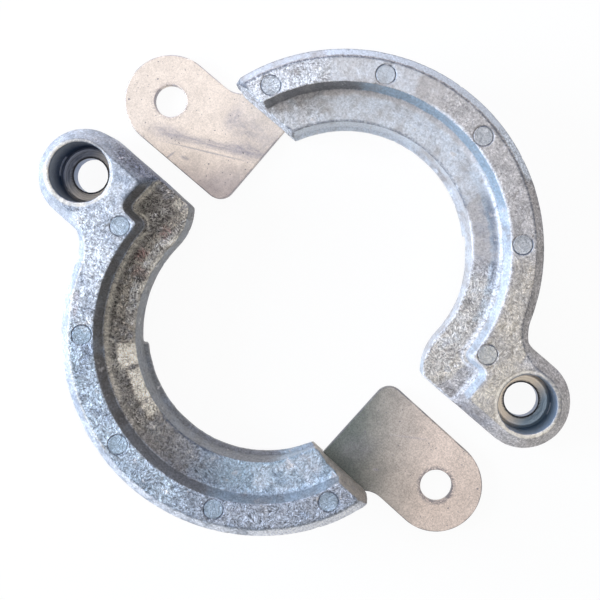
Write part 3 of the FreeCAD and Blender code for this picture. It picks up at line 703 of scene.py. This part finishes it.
def contrast_layers(tree, patterns):
    """Layers that lighten and darken by a pattern: the share, the pattern, the values of it
    at the darkest and the lightest, and how far the colour swings either way."""
    layers = []
    for share, pattern, darkest, lightest, swing in patterns:
        limits = {"From Min": darkest, "From Max": lightest, "To Min": 1 - swing, "To Max": 1 + swing}
        level = add_node(tree, "MapRange", {"Value": pattern, **limits})
        layers.append((share, level, "MULTIPLY"))
    return layers


# What sets the two castings apart: the colours of the skin, of the painted highlights on its
# edges and of the counterbore, with its painted shadow on the floor's outer side and its wall
# and floor painted lit on the right casting and shaded on the left, how strongly the cutter's
# marks show there, and how strongly the ejector marks are coloured.
SKINS = {
    "left": {
        "pale": "pale",
        "dull": "dull",
        # Colour of the painted highlights on the edges.
        "worn": "cream",
        "floor": "turned_floor_shaded",
        # Colour of the painted shadow on the counterbore floor's outer side.
        "dirt": "shade",
        "wall": "turned_wall_shaded",
        "marks": 0.8,
        "pressed": 0.6,
    },
    "right": {
        "pale": "grey_pale",
        "dull": "grey_dull",
        # Colour of the painted highlights on the edges.
        "worn": "bare",
        "floor": "turned_floor_lit",
        # Colour of the painted shadow on the counterbore floor's outer side.
        "dirt": "cold",
        "wall": "turned_wall_lit",
        "marks": 0.4,
        "pressed": 0.28,
    },
}

# Noise patterns of the cast skin, from the finest to the widest.
SKIN_NOISES = {
    "fine": {"Scale": per_size(0.6), "Detail": 2.0, "Roughness": 0.6},
    "crystals": {"Scale": per_size(1.5), "Detail": 4.0, "Roughness": 0.7, "Distortion": 1.5},
    "folds": {"Scale": per_size(3.0), "Detail": 3.0, "Roughness": 0.6, "Distortion": 2.0},
    "clouds": {"Scale": per_size(5.0), "Detail": 6.0, "Roughness": 0.65},
}
STROKES = {"Scale": per_size(0.42), "Detail": 2.0, "Roughness": 0.6, "Distortion": 0.5}
CRYSTAL_SIZE = 2.4
CRYSTAL_BEND = 3 * MM


def zinc_colour(name):
    """A colour of the zinc as the user has set it."""
    return list(getattr(bpy.context.scene.anode_zinc, name))


def nearest_mark(tree, parts):
    """The middle of the ejector mark that is nearest by angle."""
    first = math.radians(MARK_START)
    step = math.radians(MARK_STEP)
    turn = add_node(tree, "Math", {0: parts.outputs["Y"], 1: parts.outputs["X"]}, operation="ARCTAN2")
    last = first + step * (MARK_COUNT - 1)
    steps = add_node(
        tree, "MapRange", {"Value": turn, "From Min": first, "From Max": last, "To Max": MARK_COUNT - 1.0}
    )
    number = add_node(tree, "Math", {0: steps}, operation="ROUND")
    angle = add_node(tree, "Math", {0: number, 1: step, 2: first}, operation="MULTIPLY_ADD")
    across = add_node(tree, "Math", {0: angle}, operation="COSINE")
    along = add_node(tree, "Math", {0: angle}, operation="SINE")
    way = add_node(tree, "CombineXYZ", {"X": across, "Y": along})
    return add_node(tree, "VectorMath", {0: way, "Scale": MARK_CIRCLE * MM}, operation="SCALE")


def distance_on_ground(tree, place, centre):
    """How far each point lies from an upright line through the centre."""
    flat = add_node(tree, "VectorMath", {0: place, 1: (1, 1, 0)}, operation="MULTIPLY")
    return add_node(tree, "VectorMath", {0: flat, 1: centre}, operation="DISTANCE")


def ejector_marks(tree, place):
    """The ejector marks: 1 on the ring round a mark, and 1 within it."""
    parts = add_node(tree, "SeparateXYZ", {0: place})
    distance = distance_on_ground(tree, place, nearest_mark(tree, parts))
    on_top = add_node(tree, "Math", {0: parts.outputs["Z"], 1: (TOP - 1.0) * MM}, operation="GREATER_THAN")
    off_ring = add_node(tree, "Math", {0: distance, 1: MARK_RADIUS * MM}, operation="SUBTRACT")
    off_ring = add_node(tree, "Math", {0: off_ring}, operation="ABSOLUTE")
    return [
        add_node(
            tree,
            "MapRange",
            {"Value": off, "From Min": outer * MM, "From Max": inner * MM, "To Max": on_top},
        )
        for off, outer, inner in ((off_ring, 0.35, 0.05), (distance, MARK_RADIUS, MARK_RADIUS - 0.3))
    ]


def feathery_strokes(tree, place, folds):
    """Fine strokes that run another way in each crystal."""
    bend = (CRYSTAL_BEND, CRYSTAL_BEND, CRYSTAL_BEND)
    bent = add_node(
        tree, "VectorMath", {0: folds.outputs["Color"], 1: bend, 2: place}, operation="MULTIPLY_ADD"
    )
    crystals = add_node(tree, "TexVoronoi", {"Vector": bent, "Scale": per_size(CRYSTAL_SIZE)})
    turn = add_node(tree, "Math", {0: crystals.outputs["Color"], 1: 6.28}, operation="MULTIPLY")
    turned = add_node(tree, "VectorRotate", {"Vector": place, "Angle": turn}, rotation_type="Z_AXIS")
    drawn = add_node(tree, "Mapping", {"Vector": turned, "Scale": (1, 0.3, 1)})
    return add_node(tree, "TexNoise", {"Vector": drawn, **STROKES})


def skin_patterns(tree, place, grain):
    """The patterns of the cast skin. On steep walls they are drawn out along the height,
    the way the casting left its mould."""
    place = add_node(tree, "Mapping", {"Vector": place, "Scale": (1, 1, 0.35)})
    skin = {
        name: add_node(tree, "TexNoise", {"Vector": place, **pattern})
        for name, pattern in SKIN_NOISES.items()
    }
    skin["strokes"] = feathery_strokes(tree, place, skin["folds"])

    # Thin curls along the middle of the folds.
    off_fold = add_node(tree, "Math", {0: skin["folds"], 1: 0.5}, operation="SUBTRACT")
    off_fold = add_node(tree, "Math", {0: off_fold}, operation="ABSOLUTE")
    skin["curls"] = add_node(tree, "MapRange", {"Value": off_fold, "From Min": 0.05, "From Max": 0.0})

    # Pale clouds, flatter where the grain is weak.
    low = add_node(tree, "MapRange", {"Value": grain, "From Max": 0.4, "To Min": 0.4, "To Max": 0.0})
    high = add_node(tree, "Math", {0: 1.0, 1: low}, operation="SUBTRACT")
    limits = {"From Min": 0.38, "From Max": 0.62, "To Min": low, "To Max": high}
    skin["pale"] = add_node(tree, "MapRange", {"Value": skin["clouds"], **limits})
    return skin


def tint_layers(tree, skin, read):
    """The tints, with edges that the clouds break up."""
    layers = []
    for name in TINTS:
        ragged = add_node(
            tree, "Math", {0: skin["clouds"], 1: 1.8, 2: read[name]}, operation="MULTIPLY_ADD"
        )
        share = add_node(tree, "MapRange", {"Value": ragged, "From Min": 1.1, "From Max": 1.7})
        layers.append((share, zinc_colour(name), "MIX"))
    return layers


def crystal_layers(tree, skin, read, pale):
    """Light and dark crystals, strokes and grit, then thin bright curls of painted sparkle."""
    grit = add_node(tree, "MapRange", {"Value": read["grain"], "To Min": 0.28, "To Max": 1.1})
    patterns = (
        (read["grain"], skin["crystals"], 0.39, 0.61, 0.5),
        (read["grain"], skin["strokes"], 0.34, 0.64, 0.9),
        (grit, skin["fine"], 0.3, 0.7, 0.6),
    )
    curl = add_node(tree, "Math", {0: skin["curls"], 1: read["grain"]}, operation="MULTIPLY")
    curl = add_node(tree, "Math", {0: curl, 1: skin["pale"]}, operation="MULTIPLY")
    bright = stack_layers(tree, pale, [(read["warm"], zinc_colour("cream"), "MIX")])
    return contrast_layers(tree, patterns) + [(curl, bright, "MIX")]


def mark_layers(tree, skin, ring, disc, strength):
    """Ejector marks: a smooth disc in a ring that dirt has partly filled."""
    pressed = add_node(tree, "Math", {0: disc, 1: strength}, operation="MULTIPLY")
    filled = add_node(tree, "MapRange", {"Value": skin["clouds"], "From Min": 0.42, "From Max": 0.55})
    dirt = add_node(tree, "Math", {0: ring, 1: filled}, operation="MULTIPLY")
    return [(pressed, zinc_colour("cold"), "MIX"), (dirt, zinc_colour("grime_and_shade"), "MIX")]


def turning_marks(tree, from_bolt):
    """Rings that the cutter left on the counterbore's floor. Real ones are finer than the
    picture can show, so these are drawn 0.35 mm wide."""
    turns = add_node(tree, "Math", {0: from_bolt, 1: per_size(0.35)}, operation="MULTIPLY")
    rings = add_node(tree, "TexNoise", {"W": turns, "Scale": 1.0, "Detail": 2.0}, noise_dimensions="1D")
    return add_node(
        tree, "MapRange", {"Value": rings, "From Min": 0.3, "From Max": 0.7, "To Min": 0.35, "To Max": 1.5}
    )


def turned_zinc(tree, place, look):
    """The machined counterbore: a floor with turning marks and a painted shadow on its outer
    side, a dark blue wall and a drilled hole. Its floor and wall are painted lit on the right
    casting and shaded on the left."""
    parts = add_node(tree, "SeparateXYZ", {0: place})
    shares = {}
    for name, axis, start, end in (
        # The painted shadow rises towards the floor's outer side, below the wall.
        ("shaded", "X", BOSS - 1, BOSS + 5),
        ("wall", "Z", COUNTERBORE_FLOOR + 0.6, COUNTERBORE_FLOOR + 1.8),
        ("hole", "Z", COUNTERBORE_FLOOR - 0.3, COUNTERBORE_FLOOR - 0.8),
    ):
        shares[name] = add_node(
            tree, "MapRange", {"Value": parts.outputs[axis], "From Min": start * MM, "From Max": end * MM}
        )
    from_bolt = distance_on_ground(tree, place, (BOSS * MM, 0, 0))
    layers = (
        (shares["shaded"], zinc_colour(look["dirt"]), "MIX"),
        (look["marks"], turning_marks(tree, from_bolt), "MULTIPLY"),
        (shares["wall"], zinc_colour(look["wall"]), "MIX"),
        (shares["hole"], zinc_colour("drilled"), "MIX"),
    )
    return stack_layers(tree, zinc_colour(look["floor"]), layers)


def zinc_relief(tree, skin, grain, ring):
    """Strokes and curls where the grain shows, grit all over, and sunk rings."""
    relief = add_node(
        tree, "Math", {0: skin["curls"], 1: 0.15, 2: skin["strokes"]}, operation="MULTIPLY_ADD"
    )
    relief = add_node(tree, "Math", {0: relief, 1: grain}, operation="MULTIPLY")
    for pattern, depth in ((skin["fine"], 0.15), (ring, -0.3)):
        relief = add_node(tree, "Math", {0: pattern, 1: depth, 2: relief}, operation="MULTIPLY_ADD")
    return add_node(tree, "Bump", {"Height": relief, "Strength": 1.0, "Distance": 0.8 * MM})


def cast_zinc(side):
    """Die-cast zinc, with its raw skin.

    Zinc freezes in coarse crystals, so its skin is a mottled bright grey, matt, with
    small sparkles, flow lines and pits, and a warm film where it cooled last. The sparkles,
    the bright edges and spots, and the shade on the sides that turn from the lamps and in
    the channel's corners are painted light and shade in its colour."""
    look = SKINS[side]
    material, tree = new_material("cast_zinc_" + side)
    place = half_coordinates(tree, side)
    read = {
        name: add_node(tree, "Attribute", attribute_name=name).outputs["Fac"]
        for name in TINTS + ("grain", "machined", "edge", "line", "burr")
    }
    skin = skin_patterns(tree, place, read["grain"])
    ring, disc = ejector_marks(tree, place)
    pale = zinc_colour(look["pale"])
    # Painted highlights on the edges that face the lamps and painted shade on those that turn from them,
    # broken up by the crystals.
    rubbed, shaded = (
        add_node(
            tree,
            "MapRange",
            {"Value": skin["crystals"], "From Min": start, "From Max": end, "To Max": read[name]},
        )
        for name, start, end in (("edge", 0.3, 0.6), ("line", 0.75, 0.45))
    )
    layers = [(skin["pale"], pale, "MIX")]
    layers += tint_layers(tree, skin, read)
    layers += crystal_layers(tree, skin, read, pale)
    layers += mark_layers(tree, skin, ring, disc, look["pressed"])
    layers += [
        (rubbed, zinc_colour(look["worn"]), "MIX"),
        (read["machined"], turned_zinc(tree, place, look), "MIX"),
        (read["burr"], zinc_colour("burr"), "MIX"),
        (shaded, zinc_colour("grime_and_shade"), "MIX"),
    ]
    colour = stack_layers(tree, zinc_colour(look["dull"]), layers)
    roughness = add_node(tree, "MapRange", {"Value": read["machined"], "To Min": 0.5, "To Max": 0.3})
    bump = zinc_relief(tree, skin, read["grain"], ring)
    shader = add_node(
        tree,
        "BsdfPrincipled",
        {"Base Color": colour, "Metallic": 0.3, "Roughness": roughness, "Normal": bump},
    )
    add_node(tree, "OutputMaterial", {"Surface": shader})
    return material


# How the film on each strap's tab thins out, in the half's frame: the way it fades, where
# it starts and ends that way in millimetres, the colour reached and its strength.
FILMS = {
    "left": (((-0.809, -0.588, 0), 29, 46, "mid", 1.0), ((-0.809, -0.588, 0), 40, 60, "tan", 1.0)),
    "right": (((-0.648, 0.761, 0), 18, 31, "bright", 1.0),),
}

# Scuffs on each strap's tab, in the half's frame: centre, turn in degrees, half length,
# half width and strength.
SCUFFS = {
    "left": (((-46, 8), 60, 8, 6, 0.35), ((-56, -6), 215, 9, 0.5, 0.5), ((-54.6, 8.9), 30, 1.4, 0.6, 1.0)),
    "right": (
        ((-54, -2.4), 27, 19, 2.0, 0.85),
        ((-43.5, 3.6), 27, 9, 3.4, 0.95),
        ((-66, -8.0), 27, 8, 3.4, 0.7),
        ((-53, -4.8), 27, 17, 0.4, 0.9),
        ((-53.5, 9.0), 100, 5, 3.2, 0.6),
        ((-47, 9), 20, 10, 5.5, 0.6),
        ((-39.5, 10), 80, 6, 3, 0.5),
        ((-43, -8), 60, 9, 5, 0.3),
        ((-61, -13), 80, 2.4, 0.5, 1.0),
        ((-57, -10.7), 20, 2.0, 0.8, 0.8),
    ),
}

# What sets the two straps apart: how strongly their grain and the dirt round the bolt hole
# show, and the colours of the plate under its film and of its worn edge.
STRAPS = {
    "left": {"grain": 0.25, "hole dirt": 1.0, "base": "film", "edge": "cut_edge"},
    "right": {"grain": 0.15, "hole dirt": 0.35, "base": "shade", "edge": "scuffed"},
}

# Noise patterns of the steel: its grit, its clouds and its specks of dirt.
STEEL_NOISES = (
    {"Scale": per_size(0.45), "Detail": 2.0, "Roughness": 0.6},
    {"Scale": per_size(5.0), "Detail": 5.0, "Roughness": 0.65},
    {"Scale": per_size(0.9), "Detail": 1.0, "Roughness": 0.5},
)


def steel_colour(name):
    """A colour of the steel as the user has set it."""
    return list(getattr(bpy.context.scene.anode_steel, name))


def film_layers(tree, side, place, clouds):
    """The film of casting fumes, which fades across the strap."""
    layers = []
    for way, start, end, reached, strength in FILMS[side]:
        across = add_node(tree, "VectorMath", {0: place, 1: way}, operation="DOT_PRODUCT")
        wavering = add_node(
            tree, "Math", {0: clouds, 1: 6 * MM, 2: across.outputs["Value"]}, operation="MULTIPLY_ADD"
        )
        fade = {"From Min": (start + 3) * MM, "From Max": (end + 3) * MM, "To Max": strength}
        share = add_node(tree, "MapRange", {"Value": wavering, **fade}, interpolation_type="SMOOTHSTEP")
        layers.append((share, steel_colour(reached), "MIX"))
    return layers


def scuff_layers(tree, side, place):
    """Streaky grey scuffs from handling."""
    layers = []
    for centre, turn, length, width, strength in SCUFFS[side]:
        spot = {
            "Location": (centre[0] * MM, centre[1] * MM, 0),
            "Rotation": (0, 0, math.radians(turn)),
            "Scale": (length * MM, width * MM, 1),
        }
        stroke = add_node(tree, "Mapping", {"Vector": place, **spot}, vector_type="TEXTURE")
        off = distance_on_ground(tree, stroke, (0, 0, 0))
        fade = {"From Min": 1.1, "From Max": 0.2, "To Max": strength}
        body = add_node(tree, "MapRange", {"Value": off, **fade}, interpolation_type="SMOOTHSTEP")
        streaks = add_node(
            tree, "TexNoise", {"Vector": stroke, "Scale": 3.0, "Detail": 6.0, "Roughness": 0.75}
        )
        streak = add_node(tree, "MapRange", {"Value": streaks, "From Min": 0.32, "From Max": 0.6})
        share = add_node(tree, "Math", {0: body, 1: streak}, operation="MULTIPLY")
        layers.append((share, steel_colour("scuffed"), "MIX"))
    return layers


def steel_dirt_layers(tree, place, grit, clouds, specks, look):
    """A dark worn edge, where the surface turns away from straight up or down, the dirt
    in the burr round the bolt hole, and specks of dirt."""
    surface = add_node(tree, "NewGeometry")
    facing = add_node(tree, "SeparateXYZ", {0: surface.outputs["Normal"]})
    level = add_node(tree, "Math", {0: facing.outputs["Z"]}, operation="ABSOLUTE")
    turning = add_node(tree, "MapRange", {"Value": level, "From Min": 0.99, "From Max": 0.9, "To Max": 0.9})
    rubbed = add_node(tree, "MapRange", {"Value": clouds, "From Min": 0.62, "From Max": 0.42})
    edge = add_node(tree, "Math", {0: turning, 1: rubbed}, operation="MULTIPLY")
    off_hole = distance_on_ground(tree, place, (-BOSS * MM, 0, 0))
    fade = {"From Min": (TAB_HOLE + 1.3) * MM, "From Max": (TAB_HOLE + 0.2) * MM}
    dirt = add_node(tree, "MapRange", {"Value": off_hole, "To Max": look["hole dirt"], **fade})
    dotted = add_node(tree, "MapRange", {"Value": grit, "From Min": 0.68, "From Max": 0.46})
    dirt = add_node(tree, "Math", {0: dirt, 1: dotted}, operation="MULTIPLY")
    dirt = add_node(tree, "Math", {0: dirt, 1: turning}, operation="SUBTRACT", use_clamp=True)
    speck = add_node(tree, "MapRange", {"Value": specks, "From Min": 0.7, "From Max": 0.76, "To Max": 0.8})
    dirt = add_node(tree, "Math", {0: dirt, 1: speck}, operation="MAXIMUM")
    return [(edge, steel_colour(look["edge"]), "MIX"), (dirt, steel_colour("cut_edge"), "MIX")]


def rolled_steel(side):
    """Rolled mild steel strap with a thin pale plating, rubbed in handling.

    It looks smooth and satin, warm white where it is clean and grey where it is scuffed
    or where a film of casting fumes lies on it."""
    look = STRAPS[side]
    material, tree = new_material("rolled_steel_" + side)
    place = half_coordinates(tree, side)
    grit, clouds, specks = (
        add_node(tree, "TexNoise", {"Vector": place, **pattern}) for pattern in STEEL_NOISES
    )
    layers = film_layers(tree, side, place, clouds)
    layers += scuff_layers(tree, side, place)
    patterns = ((1.0, grit, 0.3, 0.7, look["grain"]), (1.0, clouds, 0.35, 0.65, 0.07))
    layers += contrast_layers(tree, patterns)
    layers += steel_dirt_layers(tree, place, grit, clouds, specks, look)
    colour = stack_layers(tree, steel_colour(look["base"]), layers)
    bump = add_node(tree, "Bump", {"Height": grit, "Strength": 0.4, "Distance": 0.1 * MM})
    shader = add_node(
        tree, "BsdfPrincipled", {"Base Color": colour, "Metallic": 0.5, "Roughness": 0.45, "Normal": bump}
    )
    add_node(tree, "OutputMaterial", {"Surface": shader})
    return material


def backdrop_rays(tree):
    """1 for the rays that see the white backdrop: camera, glossy and transmission rays."""
    rays = add_node(tree, "LightPath")
    seen = rays.outputs["Is Camera Ray"]
    for kind in ("Is Glossy Ray", "Is Transmission Ray"):
        seen = add_node(tree, "Math", {0: seen, 1: rays.outputs[kind]}, operation="MAXIMUM")
    return seen


def white_ground():
    """Matt white paper sweep. It shows as plain white and keeps a faint shadow."""
    material, tree = new_material("white_paper")
    paper = add_node(tree, "BsdfPrincipled", {"Base Color": linear("#EDEDED"), "Roughness": 0.9})
    share = add_node(tree, "Math", {0: backdrop_rays(tree), 1: 0.92}, operation="MULTIPLY")
    glow = add_node(tree, "Emission", {"Color": (1, 1, 1, 1), "Strength": 1.02})
    mixed = add_node(tree, "MixShader", {0: share, 1: paper, 2: glow})
    add_node(tree, "OutputMaterial", {"Surface": mixed})
    return material


# Stage


def make_ground():
    """The white ground that the halves lie on."""
    ground = bmesh.new()
    bmesh.ops.create_grid(ground, x_segments=1, y_segments=1, size=3.0)
    piece = new_piece("ground", ground)
    piece.data.transform(Matrix.Translation((0, 0, -0.02 * MM)))
    piece.data.materials.append(white_ground())


# Where the camera hangs over the ground in millimetres, and how far its picture is shifted.
CAMERA_PLACE = (14.491, 9.2925)
PICTURE_SHIFT = (-0.0898, -0.0603)
SENSOR_WIDTH = 36.0

# The lamps: place and width in metres, and colour.
LAMPS = {
    "key": ((-0.85, 0.1, 0.28), 0.5, "#DCEBFF"),
    "rim": ((-0.1, 0.85, 0.28), 0.5, "#E2E4FF"),
    "top": ((0.0, 0.0, 1.0), 1.8, "#FFFFFF"),
}


def make_camera(studio):
    """A camera straight above the ground, between the two halves."""
    lens = bpy.data.cameras.new("camera")
    lens.lens = studio.lens
    lens.sensor_width = SENSOR_WIDTH
    lens.shift_x, lens.shift_y = PICTURE_SHIFT
    lens.clip_start = 0.01
    camera = bpy.data.objects.new("camera", lens)
    camera.location = (CAMERA_PLACE[0] * MM, CAMERA_PLACE[1] * MM, studio.camera_height)
    bpy.context.scene.collection.objects.link(camera)
    bpy.context.scene.camera = camera


def add_lamp(name, power):
    """A square soft lamp that shines at the middle of the object."""
    place, size, colour = LAMPS[name]
    light = bpy.data.lights.new(name + "_lamp", "AREA")
    light.shape = "SQUARE"
    light.size = size
    light.energy = power
    light.color = linear(colour)[:3]
    lamp = bpy.data.objects.new(name + "_lamp", light)
    lamp.location = place
    lamp.rotation_euler = (-Vector(place)).to_track_quat("-Z", "Y").to_euler()
    bpy.context.scene.collection.objects.link(lamp)


def make_sky(level):
    """Soft light from all round. Seen directly or in a reflection, it is the white backdrop."""
    world = bpy.data.worlds.new("studio")
    bpy.context.scene.world = world
    world.use_nodes = True
    tree = world.node_tree
    tree.nodes.clear()
    strength = add_node(tree, "MapRange", {"Value": backdrop_rays(tree), "To Min": level, "To Max": 1.0})
    back = add_node(tree, "Background", {"Color": (1, 1, 1, 1), "Strength": strength})
    add_node(tree, "OutputWorld", {"Surface": back})


# Operators, one for each group of pieces


class ANODE_OT_castings(bpy.types.Operator):
    """Makes the two zinc castings"""

    bl_idname = "anode.castings"
    bl_label = "Zinc castings"

    def execute(self, context):
        settings = context.scene.anode_casting
        for side in PLACES:
            node = "half_ring_" + side
            piece = new_piece("zinc_" + node, node_solid(node, side))
            remesh_casting(piece, settings.grain)
            soften_edges(piece.data, settings.softening)
            paint_casting(piece.data, side)
            roughen_casting(piece.data, settings, side)
            lean_casting(piece.data, side)
            finish_piece(piece, side, node, cast_zinc(side))
        return {"FINISHED"}


class ANODE_OT_straps(bpy.types.Operator):
    """Makes the two steel straps"""

    bl_idname = "anode.straps"
    bl_label = "Steel straps"

    def execute(self, context):
        settings = context.scene.anode_steel
        for side in PLACES:
            node = "strap_" + side
            solid = node_solid(node, side)
            bmesh.ops.dissolve_limit(
                solid, angle_limit=math.radians(0.5), verts=solid.verts, edges=solid.edges
            )
            sharp = [e for e in solid.edges if e.calc_face_angle(0) > math.radians(40)]
            bmesh.ops.bevel(
                solid,
                geom=sharp,
                offset=settings.edge,
                offset_type="OFFSET",
                affect="EDGES",
                segments=2,
                profile=0.5,
                material=-1,
                clamp_overlap=True,
            )
            for face in solid.faces:
                face.smooth = True
            piece = new_piece("steel_" + node, solid)
            piece.data.set_sharp_from_angle(angle=math.radians(20))
            finish_piece(piece, side, node, rolled_steel(side))
        return {"FINISHED"}


class ANODE_OT_stage(bpy.types.Operator):
    """Makes the ground, the camera and the lamps"""

    bl_idname = "anode.stage"
    bl_label = "Stage"

    def execute(self, context):
        studio = context.scene.anode_studio
        make_ground()
        make_camera(studio)
        make_sky(studio.sky)
        for name in LAMPS:
            add_lamp(name, getattr(studio, name))
        context.scene.view_settings.view_transform = "Standard"
        return {"FINISHED"}


class ANODE_PT_panel(bpy.types.Panel):
    bl_idname = "ANODE_PT_panel"
    bl_label = "Split ring anode"
    bl_space_type = "VIEW_3D"
    bl_region_type = "UI"
    bl_category = "Anode"

    def draw(self, context):
        for name in SETTINGS:
            group = getattr(context.scene, name)
            box = self.layout.box()
            for prop in group.bl_rna.properties:
                if prop.identifier not in ("rna_type", "name"):
                    box.prop(group, prop.identifier)
        for operator in OPERATORS:
            self.layout.operator(operator.bl_idname)


SETTINGS = {
    "anode_casting": CastingSettings,
    "anode_zinc": ZincSettings,
    "anode_steel": SteelSettings,
    "anode_studio": StudioSettings,
}
OPERATORS = (ANODE_OT_castings, ANODE_OT_straps, ANODE_OT_stage)


def register():
    for name, group in SETTINGS.items():
        bpy.utils.register_class(group)
        setattr(bpy.types.Scene, name, bpy.props.PointerProperty(type=group))
    for operator in OPERATORS:
        bpy.utils.register_class(operator)
    bpy.utils.register_class(ANODE_PT_panel)


def unregister():
    bpy.utils.unregister_class(ANODE_PT_panel)
    for operator in reversed(OPERATORS):
        bpy.utils.unregister_class(operator)
    for name, group in SETTINGS.items():
        delattr(bpy.types.Scene, name)
        bpy.utils.unregister_class(group)


def main():
    register()
    bpy.ops.anode.castings()
    bpy.ops.anode.straps()
    bpy.ops.anode.stage()


if __name__ == "__main__":
    main()
